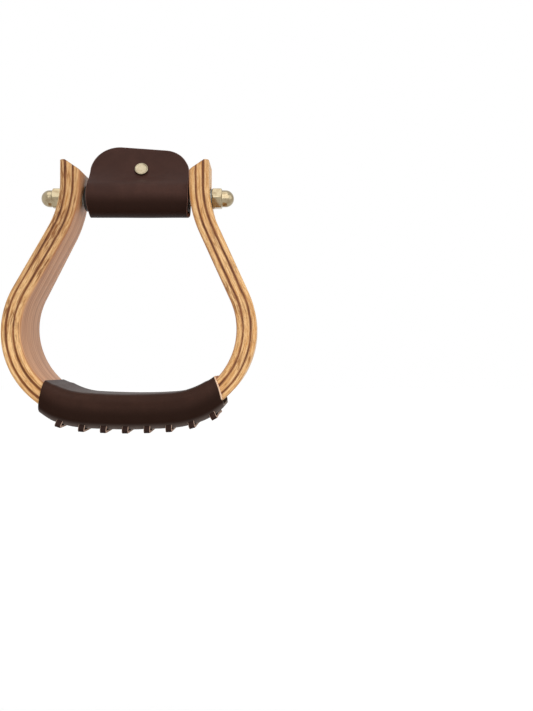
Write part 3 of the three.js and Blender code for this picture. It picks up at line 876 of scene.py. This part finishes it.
def nut_rings():
    """Rings of a nut as (distance from its seat, greatest radius, is it the hexagon)."""
    flat = nut_across_flats / 2
    beyond = nut_corner + 0.3 * mm
    shares = np.linspace(0, 1, 9)
    rings = [(0.0, 0.0, False), (0.0, flat * 0.6, False), (0.0, flat - nut_mouth_rim, True)]
    for share in shares:
        rings.append((share * nut_chamfer, flat + share * (beyond - flat), True))
    for share in shares[1:]:
        middle = share * (nut_hex_length - 2 * nut_chamfer)
        rings.append((nut_chamfer + middle, beyond, True))
    for share in shares[:-1][::-1]:
        away = nut_hex_length - share * nut_chamfer
        rings.append((away, flat + share * (beyond - flat), True))
    for angle in np.linspace(0, 90 * degree, 7):
        away = nut_hex_length + nut_fillet * (1 - math.cos(angle))
        rings.append((away, nut_dome_radius + nut_fillet * (1 - math.sin(angle)), False))
    dome_start = nut_length - nut_dome_radius
    rings.append((dome_start - nut_fillet, nut_dome_radius, False))
    for angle in np.linspace(0, 90 * degree, 25):
        away = dome_start + nut_dome_radius * math.sin(angle)
        rings.append((away, nut_dome_radius * math.cos(angle), False))
    return rings


def domed_nut(name, side):
    steps = 216
    angles = np.arange(steps) * 2 * math.pi / steps
    from_flat = angles % (60 * degree) - 30 * degree
    hexagon = nut_across_flats / 2 / np.cos(from_flat)
    hexagon = softer_least(hexagon, nut_corner - nut_wear, nut_corner_blur)
    points, faces = [], []
    rings = nut_rings()
    for number, (away, reach, hexed) in enumerate(rings):
        radius = softer_least(hexagon, reach, nut_wear) if hexed else np.full(steps, reach)
        x = np.full(steps, side * (nut_x + away))
        points.extend(zip(x, -radius * np.cos(angles), radius * np.sin(angles)))
        if number > 0:
            faces.extend(ring_faces(number - 1, number, steps))
    return smoothed(tidied(mesh_object(name, points, faces)), 50 * degree)


for node, side in [("left_acorn_nut", -1), ("right_acorn_nut", 1)]:
    dressed(domed_nut(f"{node}_smooth", side), "bow", "nickel", nickel, node)

# %% [markdown]
# Washers, sleeve and rivet are turned parts. The corners of their outlines are rounded
# before they are revolved, because a perfectly sharp edge never catches the light.

# %% Rounded outlines
def eased(outline, radius):
    """Rounds the corners of a closed outline, apart from those on the axis."""
    made = []
    for i, corner in enumerate(outline):
        here = np.array(corner, float)
        into = here - np.array(outline[i - 1], float)
        out = np.array(outline[(i + 1) % len(outline)], float) - here
        if here[0] == 0:
            made.append(tuple(here))
            continue
        into_length, out_length = np.linalg.norm(into), np.linalg.norm(out)
        reach = min(radius, 0.45 * into_length, 0.45 * out_length)
        start = here - into / into_length * reach
        end = here + out / out_length * reach
        for t in np.linspace(0, 1, 5):
            made.append(tuple((1 - t) ** 2 * start + 2 * t * (1 - t) * here + t**2 * end))
    return made


washer_round, sleeve_round = 0.25 * mm, 0.4 * mm

washer = eased([
    (bolt_hole, washer_x), (washer_radius, washer_x),
    (washer_radius, washer_x + washer_thickness), (bolt_hole, washer_x + washer_thickness),
], washer_round)
for node, side in [("left_washer", -1), ("right_washer", 1)]:
    piece = turned(f"{node}_smooth", [(radius, side * x) for radius, x in washer])
    dressed(smoothed(piece, 35 * degree), "bow", "zinc_steel", zinc, node)

sleeve = eased([
    (sleeve_bore, -sleeve_half), (sleeve_radius - sleeve_chamfer, -sleeve_half),
    (sleeve_radius, sleeve_chamfer - sleeve_half), (sleeve_radius, sleeve_half - sleeve_chamfer),
    (sleeve_radius - sleeve_chamfer, sleeve_half), (sleeve_bore, sleeve_half),
], sleeve_round)
piece = smoothed(turned("roller_sleeve_smooth", sleeve, 128), 35 * degree)
dressed(piece, "roller", "black_plastic", plastic, "roller_sleeve")

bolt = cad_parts["stirrup_bolt"]
bolt.data.materials.clear()
bolt.data.materials.append(zinc)
print("the plain bolt keeps its solid and gets the zinc finish")

# %% [markdown]
# Cover, tread and lace are smooth vegetable-tanned leather, dyed nearly black brown on the
# grain side. The grain is a fine net of cells, with a slower unevenness under it. What
# depends on the place on a piece comes from attributes between 0 and 1: one shows the pale
# core at cut edges, one darkens the parts that face downwards, which is painted shade, and
# one greys the tread's lower bend, which is a painted sheen. A piece without an attribute
# counts as 0. The cut edge at the tread's right end is left pale. The tread's other edges
# and the cover's are toned down.

# %% Leather
# Grey of the painted sheen, a painted reflection on the tread's lower bend.
painted_sheen_tone = linear(100, 88, 82)


def leather(name, base, lifted, shade_tone, core, roughness, cell):
    """Leather of these tones, with grain cells of this size."""
    material, nodes = new_material(name)
    x, y, z = nodes.place()

    def at(scale, detail=2.0):
        return texture_noise(nodes, (x, y, z), (scale, scale, scale), detail)

    warp = at(700) * 0.5
    warped = nodes.xyz(x / cell + warp, y / cell + warp, z / cell + warp)
    cells = nodes.add(
        "ShaderNodeTexVoronoi", {"feature": "SMOOTH_F1"},
        {"Vector": warped, "Scale": 1.0, "Smoothness": 0.35},
    )["Distance"]
    slow, cloud = at(38), at(120, 4.0)
    fine, fibre = at(2400, 3.0), at(1500, 4.0)

    colour = nodes.mix(base, lifted, slow.step(0.35, 0.7) * 0.6 + cloud.step(0.4, 0.7) * 0.4)
    colour = nodes.mix(colour, base, cells.step(0.45, 0.8) * 0.5)
    # Painted shade: the parts that face downwards are darker.
    colour = nodes.mix(colour, shade_tone, nodes.attribute("painted_shade"))
    painted_sheen = nodes.attribute("painted_sheen") * (0.75 + 0.25 * cloud)
    colour = nodes.mix(colour, painted_sheen_tone, painted_sheen)
    flesh = nodes.mix(core, nodes.mix(core, base, 0.35), fibre.step(0.4, 0.65))
    cut_part = (nodes.attribute("cut_edge") + (fibre - 0.5) * 0.5).step(0.35, 0.75)
    grain = bump(nodes, (1 - cells.step(0.1, 0.85)) * 0.7 + fine * 0.3, 0.02 * mm)
    finish_material(nodes, {
        "Base Color": nodes.mix(colour, flesh, cut_part),
        "Roughness": roughness + 0.1 * (cloud - 0.5) + 0.12 * cells + 0.25 * cut_part,
        "Normal": bump(nodes, cloud, 0.12 * mm, grain),
        "Specular IOR Level": 0.06,
    })
    return material


tread_hide = leather(
    "tread_hide", linear(51, 32, 25), linear(62, 40, 32), linear(34, 17, 9),
    linear(236, 198, 166), 0.4, 0.55 * mm,
)
cover_hide = leather(
    "cover_hide", linear(58, 37, 31), linear(69, 45, 38), linear(41, 23, 16),
    linear(120, 92, 84), 0.4, 0.55 * mm,
)
lace_hide = leather(
    "lace_hide", linear(40, 26, 22), linear(54, 36, 30), linear(40, 26, 22),
    linear(188, 158, 140), 0.44, 0.6 * mm,
)
print("leather ready:", tread_hide.name, cover_hide.name, lace_hide.name)

# %% [markdown]
# Leather parts start as a flat pattern, as in a workshop. The pattern is a grid of points
# with two distances along the leather and a height through its thickness. A function then
# bends every point into place. Near the outline both faces draw in, which rounds the cut
# edges, and the grid is closer there so that the rounding is smooth.

# %% Slab of leather from a flat grid
def slab(name, bend, first, second, edge_distance, thickness, rounding, marks):
    """Closed leather from grids of pattern coordinates and each point's distance inside."""
    rows, columns = first.shape
    reach = np.clip(edge_distance / rounding, 0, 1)
    draw = rounding * (1 - np.sqrt(1 - (1 - reach) ** 2))
    outer = bend(first, second, thickness - draw)
    inner = bend(first, second, draw)
    points = np.concatenate([outer.reshape(-1, 3), inner.reshape(-1, 3)])
    ids = np.arange(rows * columns).reshape(rows, columns)
    faces = []
    for i in range(rows - 1):
        for j in range(columns - 1):
            a, b, c, d = ids[i, j], ids[i, j + 1], ids[i + 1, j + 1], ids[i + 1, j]
            faces.append((a, b, c, d))
            faces.append((a + ids.size, d + ids.size, c + ids.size, b + ids.size))
    rim = [*ids[0, :], *ids[1:, -1], *ids[-1, -2::-1], *ids[-2:0:-1, 0]]
    for a, b in zip(rim, [*rim[1:], rim[0]]):
        faces.append((a, a + ids.size, b + ids.size, b))
    piece = mesh_object(name, points, faces)
    cut_edge = np.clip(1 - edge_distance / rounding, 0, 1) ** 0.5
    for mark, values in {"cut_edge": cut_edge, **marks}.items():
        keep_attribute(piece.data, mark, "FLOAT", np.concatenate([values.ravel()] * 2))
    return piece


def soft_step(value, low, high):
    """0 at low, 1 at high and a smooth step between them. Low may be the greater."""
    share = np.clip((value - low) / (high - low), 0, 1)
    return share * share * (3 - 2 * share)


rim_shares = np.array([0, 0.04, 0.12, 0.25, 0.42, 0.65, 1.0])


def spaced(length, coarse, rounding):
    """Places from 0 to length, close together where both ends are rounded."""
    rim = rim_shares * rounding
    count = max(2, round((length - 2 * rounding) / coarse))
    middle = np.linspace(rounding, length - rounding, count + 1)[1:-1]
    return np.concatenate([rim, middle, (length - rim)[::-1]])


def waves(first, second, first_length, second_length, layer):
    """Slow waves over a piece of leather, between -1 and 1, from one layer of the noise."""
    wave = np.vectorize(lambda a, b: noise.noise((a / first_length, b / second_length, layer)))
    return wave(first, second)


def leaning(points):
    """Lays points of the upright cover back to its place at rest."""
    x, y, z = points[..., 0], points[..., 1], points[..., 2]
    c, s = math.cos(cover_lean), math.sin(cover_lean)
    return np.stack([x, y * c + z * s, z * c - y * s], axis=-1)


# %% [markdown]
# The cover is one strip of leather folded round the sleeve and riveted to itself above it.
# Seen from the side its inner face is an arc round the sleeve, a short straight, a bend the
# other way and two plies side by side. The rivet pinches the plies together close above the
# sleeve. Away from it stiff leather stays open further up, so the fold changes softly from
# a pinched shape in the middle to an open one at the sides, and no crease is left.

# %% Side view of the fold
class Fold:
    """The fold's inner face from its lowest line up to where the plies are flat."""

    def __init__(self, closing, bend):
        self.closing, self.bend = closing, bend
        self.straight = (
            cover_loop * math.cos(closing) - bend * (1 - math.cos(closing)) - cover_ply_gap / 2
        ) / math.sin(closing)
        self.arc = cover_loop * (90 * degree + closing)
        self.bend_start = self.arc + self.straight
        self.bend_end = self.bend_start + bend * closing
        self.top = (
            cover_loop * math.sin(closing) + self.straight * math.cos(closing)
            + bend * math.sin(closing)
        )

    def point(self, length, height):
        """Depth and height of a place that is this far along the leather."""
        turn = np.clip(length / cover_loop, 0, 90 * degree + self.closing)
        y = (cover_loop + height) * np.sin(turn)
        z = -(cover_loop + height) * np.cos(turn)
        on = np.clip(length - self.arc, 0, self.straight)
        y = y - on * math.sin(self.closing)
        z = z + on * math.cos(self.closing)
        left = np.clip((length - self.bend_start) / self.bend, 0, self.closing)
        now = self.closing - left
        inner = self.bend - height
        y = y + inner * (math.cos(self.closing) - np.cos(now))
        z = z + inner * (math.sin(self.closing) - np.sin(now))
        return y, z + np.clip(length - self.bend_end, 0, None)


pinched, opened = Fold(*pinched_fold), Fold(*open_fold)
pinched_length = pinched.bend_end + opened.top - pinched.top
flap_start, fold_end = pinched.top, pinched.bend_end


def fold_point(across, length, height):
    """Depth and height on the cover. The rivet's pull fades away from it."""
    side = np.sign(length) + (length == 0)
    way = np.abs(length)
    share = soft_step(np.abs(across - rivet_offset), pinch_start, pinch_end)
    stretched = np.minimum(way, pinched_length) * opened.bend_end / pinched_length
    stretched = stretched + np.maximum(0, way - pinched_length)
    near_y, near_z = pinched.point(way, height)
    far_y, far_z = opened.point(stretched, height)
    y = near_y + share * (far_y - near_y)
    return side * y, near_z + share * (far_z - near_z)


print(f"the plies meet {pinched.top / mm:.1f} mm above the bolt in the middle")
print(f"and {opened.top / mm:.1f} mm above it at the sides")


# %% Flat pattern of the cover
def cover_top():
    """The top edge and its corners, from the left side round to the right side."""
    split = 90 * degree - cover_top_slope
    corners = [
        (cover_left_corner - cover_left, cover_left_corner, 180 * degree, split),
        (cover_right - cover_right_corner, cover_right_corner, split, 0),
    ]
    path = [(-cover_left, flap_start)]
    for x, radius, start, end in corners:
        z = cover_height - x * math.tan(cover_top_slope) - radius / math.cos(cover_top_slope)
        for angle in np.linspace(start, end, 41):
            path.append((x + radius * math.cos(angle), z + radius * math.sin(angle)))
    path.append((cover_right, flap_start))
    return np.array(path)


def walk_along(path, places):
    """Points at these shares of a path's length."""
    lengths = lengths_along(path)
    at = np.asarray(places) * lengths[-1]
    return np.stack([np.interp(at, lengths, path[:, k]) for k in (0, 1)], axis=1)


# The grid's sides climb this far round the corners. The rest of each corner is the top's.
left_climb, right_climb = 48 * degree, 42 * degree


def cover_pattern(columns, rows):
    """Grid over one flap: across, and up from where the plies meet."""
    path = cover_top()
    total = lengths_along(path)[-1]
    left_side = path[1, 1] - flap_start + cover_left_corner * left_climb
    right_side = path[-2, 1] - flap_start + cover_right_corner * right_climb
    left = walk_along(path, rows * left_side / total)
    right = walk_along(path, 1 - rows * right_side / total)
    top = walk_along(path, (left_side + columns * (total - right_side - left_side)) / total)
    base = np.stack([columns * cover_width - cover_left, np.full(len(columns), flap_start)], 1)
    u, v = columns[None, :, None], rows[:, None, None]
    low_corners = (1 - u) * base[0] + u * base[-1]
    high_corners = (1 - u) * top[0] + u * top[-1]
    between_sides = (1 - u) * left[:, None] + u * right[:, None]
    return between_sides + (1 - v) * (base - low_corners) + v * (top - high_corners)


def distance_inside(points, path):
    """How far points lie from a line of short pieces."""
    best = np.full(points.shape[:-1], np.inf)
    for start, end in zip(path[:-1], path[1:]):
        run = end - start
        share = np.clip(((points - start) @ run) / (run @ run), 0, 1)
        away = np.linalg.norm(points - start - share[..., None] * run, axis=-1)
        best = np.minimum(best, away)
    return best


# %% Leather cover
cover_rounding = 0.7 * mm
rivet_press, rivet_press_reach = 0.22 * mm, 7.5 * mm
cover_swell, cover_waves = 0.16 * mm, (26 * mm, 22 * mm, 3.1)
flare_top, flare_height = 30 * mm, 18 * mm
loop_painted_shade = (15.5 * mm, 7.5 * mm)


def cover_bend(x, length, height):
    """Folds a place of the flat pattern round the sleeve and lays it back."""
    up = np.abs(length) - fold_end + flap_start
    from_rivet = np.hypot(x - rivet_offset, up - rivet_height) / rivet_press_reach
    swell = cover_swell * waves(x, length, *cover_waves)
    swell = swell - rivet_press * np.exp(-(from_rivet**2))
    y, z = fold_point(x, length, height + height / cover_leather * swell)
    flare = np.clip((flare_top - z) / flare_height, 0, 1) * np.clip(x / cover_right, 0, 1)
    placed = leaning(np.stack([x + cover_flare * flare, y, z], axis=-1))
    placed[..., 2] *= np.where(placed[..., 2] < 0, 1 + cover_sag, 1)
    return placed


def cover_piece():
    """A flap, the loop round the sleeve and the other flap, as one grid."""
    flap_reach, first_row = 30 * mm, 1.5 * mm
    across_step, up_step = 1.6 * mm, 1.2 * mm
    columns = spaced(cover_width, across_step, cover_rounding) / cover_width
    climb = spaced(flap_reach, up_step, cover_rounding)
    rows = np.concatenate([[0], climb[climb >= first_row]]) / flap_reach
    flap = cover_pattern(columns, rows)
    flap_distance = distance_inside(flap, cover_top())
    loop = np.linspace(-fold_end, fold_end, 121)[1:-1]
    _, heights = pinched.point(np.abs(loop), cover_leather)
    rise = (heights + cover_loop + cover_leather) / cover_waist_height
    waist = (cover_waist * np.clip(1 - rise, 0, 1))[:, None]
    across = waist - cover_left + columns[None, :] * (cover_width - 2 * waist)
    loop_distance = np.minimum(across + cover_left, cover_right - across) - waist
    lengths = fold_end + (flap[..., 1] - flap_start)
    loop_lengths = np.repeat(loop[:, None], len(columns), axis=1)
    first = np.concatenate([flap[::-1, :, 0], across, flap[:, :, 0]])
    second = np.concatenate([-lengths[::-1], loop_lengths, lengths])
    distance = np.concatenate([flap_distance[::-1], loop_distance, flap_distance])
    # Painted shade: the bottom of the loop, which faces downwards, is darker.
    marks = {"painted_shade": soft_step(np.abs(second), *loop_painted_shade)}
    return slab(
        "bolt_cover_leather", cover_bend, first, second, distance, cover_leather,
        cover_rounding, marks,
    )


cover = smoothed(tidied(cover_piece()), 60 * degree)
dressed(cover, "cover", "dark_leather", cover_hide, "bolt_cover")

# %% [markdown]
# The rivet is a Chicago screw: a post with a dished head in front, and a slotted screw
# behind. Both are turned in the cover's upright position and then laid back with it.

# %% Rivet
cover_face = cover_ply_gap / 2 + cover_leather
head_start = cover_face + seat_gap
head_end = head_start + rivet_thickness
post_round, screw_round = 0.3 * mm, 0.35 * mm


def in_cover(piece):
    """Turns a part made along X to lie along Y through the cover, then leans it back."""
    spots = points_of(piece.data)
    upright = np.stack([
        rivet_offset + spots[:, 1], spots[:, 0], rivet_height + spots[:, 2],
    ], axis=1)
    piece.data.vertices.foreach_set("co", leaning(upright).astype(np.float32).ravel())
    piece.data.update()
    return tidied(piece)


post = eased([
    (0, -head_end + rivet_dish), (rivet_radius - rivet_rim, -head_end + rivet_dish),
    (rivet_radius - rivet_rim + rivet_dish, -head_end), (rivet_radius - rivet_dish, -head_end),
    (rivet_radius, -head_end + rivet_dish), (rivet_radius, -head_start),
    (rivet_post, -head_start), (rivet_post, cover_face - seat_gap), (0, cover_face - seat_gap),
], post_round)
piece = smoothed(in_cover(turned("rivet_post_smooth", post, 128)), 40 * degree)
dressed(piece, "cover", "nickel", rivet_nickel, "rivet_post")

head = eased([
    (0, head_start), (rivet_radius, head_start), (rivet_radius, head_end - rivet_dish),
    (rivet_radius - 2 * rivet_dish, head_end), (0, head_end),
], screw_round)
screw = turned("rivet_screw_smooth", head, 128)
groove = mesh_object("groove", [
    (head_end + side * screw_slot_depth, y * rivet_radius * 1.5, z * screw_slot / 2)
    for side in (-1, 1) for y in (-1, 1) for z in (-1, 1)
], [(0, 1, 3, 2), (4, 6, 7, 5), (0, 4, 5, 1), (2, 3, 7, 6), (0, 2, 6, 4), (1, 5, 7, 3)])
cut(screw, tidied(groove))
piece = smoothed(in_cover(screw), 30 * degree)
dressed(piece, "cover", "nickel", rivet_nickel, "rivet_screw")

# %% [markdown]
# The tread leather is wrapped round the sole and drawn together underneath. Its pattern
# runs along the sole one way and round the section the other way. At the ends the leather
# is pared thinner and cut at a slant, and the lace pulls small hollows round its holes. On
# top it is crowned, which a grid can follow with a height that fades towards its borders.

# %% Places along the sole
def sole_heading(length):
    beyond = np.maximum(0, np.abs(length) - sole_arc)
    on_sole = np.minimum(np.abs(length), sole_arc)
    return np.sign(length) * (on_sole / sole_radius + beyond / lobe_radius)


def sole_point(length, offset, y):
    """Place beside the sole: along the wood, offset into it, and from front to back."""
    heading = np.abs(sole_heading(length))
    on_lobe = heading > sole_half_angle
    radius = np.where(on_lobe, lobe_radius, sole_radius)
    shift = np.where(on_lobe, sole_radius - lobe_radius, 0)
    out = shift * math.sin(sole_half_angle) + (radius - offset) * np.sin(heading)
    drop = shift * math.cos(sole_half_angle) + (radius - offset) * np.cos(heading)
    z = sole_radius - sole_drop - drop
    taper = half_depth(z, bow_sizes) / (sole_depth / 2)
    return np.stack([sole_shift + np.sign(length) * out, y * taper, z], axis=-1)


lace_half_row = (lace_count - 1) / 2 * lace_pitch
lace_places = [lace_shift + i * lace_pitch - lace_half_row for i in range(lace_count)]
print("lace holes at", [round(place / mm, 1) for place in lace_places])


# %% Wrapped section
def section_walk():
    """Straights and quarter turns of the leather's inner face, from the front seam edge."""
    top = bow_thickness + tread_gap
    corner = ("turn", tread_round * 90 * degree)
    side = ("line", top - 2 * tread_round + lace_bay)
    half_base = ("line", corner_y - tread_seam / 2)
    return [
        half_base, corner, side, corner, ("line", 2 * corner_y), corner, side, corner, half_base
    ]


section_length = sum(length for _, length in section_walk())


def section_point(walked, height):
    """Offset into the wood and depth of a place on the section, height outwards."""
    y = np.full(walked.shape, -tread_seam / 2)
    offset = np.full(walked.shape, -lace_bay)
    turned_by = np.zeros(walked.shape)
    heading, start = 0.0, 0.0
    for kind, length in section_walk():
        on = np.clip(walked - start, 0, length)
        if kind == "line":
            y = y - on * math.cos(heading)
            offset = offset + on * math.sin(heading)
        else:
            now = heading + on / tread_round
            y = y - tread_round * (np.sin(now) - math.sin(heading))
            offset = offset + tread_round * (math.cos(heading) - np.cos(now))
            turned_by = turned_by + on / tread_round
            heading += 90 * degree
        start += length
    return offset - height * np.cos(turned_by), y - height * np.sin(turned_by)


print(f"the leather is {section_length / mm:.1f} mm long round the sole")


# %% Tread leather
tread_rounding = 0.6 * mm
tread_swell, tread_waves = 0.22 * mm, (21 * mm, 17 * mm, 8.4)
crown_reach = 0.9 * tread_half_length
hole_at = corner_y - tread_seam / 2 + tread_round * 45 * degree
hole_hollow, hollow_along, hollow_round = 0.45 * mm, 3.2 * mm, 2.6 * mm
pale_end, pale_end_fade = 1.3 * mm, 0.5 * mm
# Painted shade on the tread's front and back: darker towards the bottom.
lower_face_painted_shade = (13 * mm, 3.5 * mm)
# Painted sheen: a grey band where the tread's lower bend faces downwards.
base_painted_sheen, painted_sheen_strip = (-0.1 * mm, -2.2 * mm), 7 * mm
toned_share, painted_sheen_share = 0.45, 0.85


def hollows(length, walked):
    """How far the lace has drawn the leather in round its holes."""
    drawn = 0.0
    for place in lace_places:
        for hole in (hole_at, section_length - hole_at):
            along = (length + tread_shift - place) / hollow_along
            away = np.hypot(along, (walked - hole) / hollow_round)
            drawn = drawn + hole_hollow * np.exp(-(away**2))
    return drawn


def tread_piece():
    around_step, along_step = 1.6 * mm, 1.2 * mm
    lowest = -lace_bay - tread_leather
    height_all = bow_thickness + tread_gap + tread_leather - lowest
    stops, start = [0.0], 0.0
    for kind, length in section_walk():
        steps = 10 if kind == "turn" else max(4, round(length / around_step))
        stops.extend(start + length * i / steps for i in range(1, steps + 1))
        start += length
    near = rim_shares[1:] * tread_rounding
    around = np.unique(np.round(np.concatenate([stops, near, section_length - near]), 9))
    along = spaced(2 * tread_half_length, along_step, tread_rounding) - tread_half_length
    first, second = np.meshgrid(along, around, indexing="ij")
    from_end = tread_half_length - np.abs(first)
    distance = np.minimum(from_end, np.minimum(second, section_length - second))

    above, deep = section_point(second, 0 * second)
    toward_back = np.clip(0.5 + deep / corner_y / 2, 0, 1)
    on_top = soft_step(above, bow_thickness - tread_round, bow_thickness)
    crown = tread_front_crown + toward_back * (tread_back_crown - tread_front_crown)
    crown = crown * on_top * np.clip(1 - (first / crown_reach) ** 4, 0, 1)
    end_leather = tread_edge_leather - tread_back_paring * toward_back * on_top

    pale = np.clip((pale_end - from_end) / pale_end_fade, 0, 1) * np.clip(above / mm, 0, 1)
    toned = toned_share * np.clip(1 - distance / tread_rounding, 0, 1) ** 0.5
    painted_sheen = soft_step(above, *base_painted_sheen)
    painted_sheen = painted_sheen * soft_step(np.abs(deep), corner_y - painted_sheen_strip, corner_y)
    marks = {
        "cut_edge": np.where(first > 0, np.maximum(pale, toned), toned),
        "painted_shade": soft_step(above, *lower_face_painted_shade),
        "painted_sheen": painted_sheen_share * painted_sheen,
    }

    def bend(length, walked, height):
        paring = np.clip(1 - (tread_half_length - np.abs(length)) / tread_paring, 0, 1)
        thick = tread_leather - paring * (tread_leather - end_leather)
        swell = tread_swell * waves(length, walked, *tread_waves) * (1 - paring)
        rise = thick + swell - hollows(length, walked) + crown
        offset, y = section_point(walked, height / tread_leather * rise)
        slant = tread_end_slant * (offset - lowest) / height_all
        reach = length / tread_half_length * (tread_half_length + slant)
        return sole_point(tread_shift + reach, offset, y)

    return slab(
        "tread_leather_wrap", bend, first, second, distance, tread_leather,
        tread_rounding, marks,
    )


tread = smoothed(tidied(tread_piece()), 60 * degree)
dressed(tread, "bow", "dark_leather", tread_hide, "tread_leather")

# %% [markdown]
# One flat lace draws the leather together. It comes out of a front hole, crosses under the
# sole, goes in at the back and runs aslant to the next front hole. It repeats and follows a
# path, so Geometry Nodes sweep it: the path carries the way the lace faces, Set Curve
# Normal turns the band that way, and the band's narrow sides are marked as cut edges.

# %% Path of the lace
def lace_path():
    """Points along the lace with the place, the depth, the distance below and its facing."""
    inner = lace_bay - hole_rise
    outer = lace_bay + tread_leather + lace_slack
    lean = lace_hole_lean

    def wall_y(below):
        along = (below - corner_below - lace_bend * math.sin(lean)) / math.cos(lean)
        return corner_y - lace_bend * math.cos(lean) + along * math.sin(lean)

    inner_y, outer_y = wall_y(inner), wall_y(outer)
    out = []

    def turn(y, below, start, end):
        steps = math.ceil((end - start) / (7.5 * degree))
        for angle in np.linspace(start, end, steps + 1):
            face_y, face_below = -math.sin(angle), -math.cos(angle)
            out.append((-y + lace_bend * face_y, below + lace_bend * face_below,
                        face_y, face_below))

    turn(inner_y, inner, 0, 90 * degree - lean)
    turn(outer_y, outer, 90 * degree - lean, 180 * degree)
    crossing = []
    for y in np.linspace(-outer_y, outer_y, 25)[1:-1]:
        tight = lace_slack * (1 + math.cos(math.pi * y / outer_y)) / 2
        crossing.append((y, outer + lace_bend - tight, 0.0, 1.0))
    back = [(-y, below, -face_y, face_below) for y, below, face_y, face_below in reversed(out)]
    hidden = inner - lace_bend
    path = [(lace_places[0], lace_tail - inner_y, hidden, 0.0, -1.0)]
    for place in lace_places:
        path.extend((place, *point) for point in [*out, *crossing, *back])
        if place != lace_places[-1]:
            for share in np.linspace(0, 1, 13)[1:-1]:
                along, y = place + share * lace_pitch, inner_y * (1 - 2 * share)
                path.append((along, y, hidden, 0.0, -1.0))
    path.append((lace_places[-1], inner_y - lace_tail, hidden, 0.0, -1.0))
    return np.array(path)


place, depth, below, face_y, face_below = lace_path().T
line = sole_point(place, -below, depth)
ahead = sole_point(place, -(below + 0.1 * mm * face_below), depth + 0.1 * mm * face_y)
facing = (ahead - line) / np.linalg.norm(ahead - line, axis=1)[:, None]
print(f"lace {lengths_along(line)[-1] / mm:.0f} mm long, {len(line)} points")


# %% Geometry Nodes for the lace
def lace_tree():
    tree, nodes = new_tree("laced_band", ["Width", "Thickness", "Edge round"])
    group = nodes.add("NodeGroupInput")
    width, edge = group["Width"], group["Edge round"]
    curve = nodes.add("GeometryNodeMeshToCurve", {}, {"Mesh": group["Geometry"]})[0]
    way = nodes.add(
        "GeometryNodeInputNamedAttribute", {"data_type": "FLOAT_VECTOR"}, {"Name": "facing"}
    )[0]
    aimed = nodes.add(
        "GeometryNodeSetCurveNormal", {"mode": "FREE"}, {"Curve": curve, "Normal": way}
    )[0]
    outline = rounded_profile(nodes, group["Thickness"], width, edge, 4)
    _, y, _ = nodes.split(nodes.add("GeometryNodeInputPosition")[0])
    narrow_side = abs(y).step(width / 2 - edge * 1.05, width / 2 - edge * 0.3)
    profile = captured(nodes, outline, "Cut", narrow_side)
    marked = nodes.add(
        "GeometryNodeStoreNamedAttribute", {"data_type": "FLOAT", "domain": "POINT"},
        {
            "Geometry": swept(nodes, aimed, profile[0]),
            "Name": "cut_edge",
            "Value": profile["Cut"],
        },
    )[0]
    close_tree(nodes, group, marked)
    return tree


lace = path_object("tread_lace_band", line)
keep_attribute(lace.data, "facing", "FLOAT_VECTOR", facing)
apply_tree(lace, lace_tree(), {
    "Width": lace_width,
    "Thickness": lace_thickness,
    "Edge round": 0.45 * mm,
    "Finish": lace_hide,
})
dressed(smoothed(tidied(lace), 50 * degree), "bow", "lace_leather", lace_hide, "tread_lace")

# %% [markdown]
# The studio is white all round. The world is white where the camera, a mirror or glass sees
# it, and dimmer where it only lights, so that three soft suns can model the forms: the key
# from the front and a little from the right, one from above and one from the right side.
# The stirrup hangs, so the pale floor lies well below it and takes a faint shadow.

# %% Studio
scene = bpy.context.scene
scene.view_settings.view_transform = "Standard"
fill_light = 0.5
floor_glow = (0.2, 0.2, 0.2, 1)
floor_height = -600 * mm
floor_reach = 12.0


def seen(nodes):
    """1 for the rays of the camera, of mirrors and of glass, and 0 for rays that light."""
    rays = nodes.add("ShaderNodeLightPath")
    kinds = [rays[f"Is {kind} Ray"] for kind in ("Camera", "Glossy", "Transmission")]
    return (kinds[0] + kinds[1] + kinds[2]).clamped()


def sun(name, strength, spread, aim):
    data = bpy.data.lights.new(name, "SUN")
    data.energy, data.angle = strength, spread
    lamp = bpy.data.objects.new(name, data)
    lamp.rotation_mode = "QUATERNION"
    lamp.rotation_quaternion = Vector(aim).to_track_quat("-Z", "Y")
    scene.collection.objects.link(lamp)


scene.world = bpy.data.worlds.new("studio")
scene.world.use_nodes = True
scene.world.node_tree.nodes.clear()
sky = Nodes(scene.world.node_tree)
level = fill_light + (1 - fill_light) * seen(sky)
back = sky.add("ShaderNodeBackground", {}, {"Color": (1, 1, 1, 1), "Strength": level})[0]
sky.add("ShaderNodeOutputWorld", {}, {"Surface": back})

sun("key", 1.2, 60 * degree, (-0.25, 0.9, -0.4))
sun("top", 0.7, 55 * degree, (0.0, 0.4, -1.0))
sun("side", 0.5, 60 * degree, (-0.9, 0.4, -0.2))

corners = [(-1, -1), (1, -1), (1, 1), (-1, 1)]
floor = mesh_object(
    "floor", [(x * floor_reach, y * floor_reach, floor_height) for x, y in corners],
    [(0, 1, 2, 3)],
)
paper, nodes = new_material("white_paper")
finish_material(nodes, {
    "Base Color": (0.9, 0.9, 0.9, 1),
    "Roughness": 0.9,
    "Emission Color": nodes.mix((0, 0, 0, 1), floor_glow, seen(nodes)),
    "Emission Strength": 1.0,
})
floor.data.materials.append(paper)
print("studio ready")
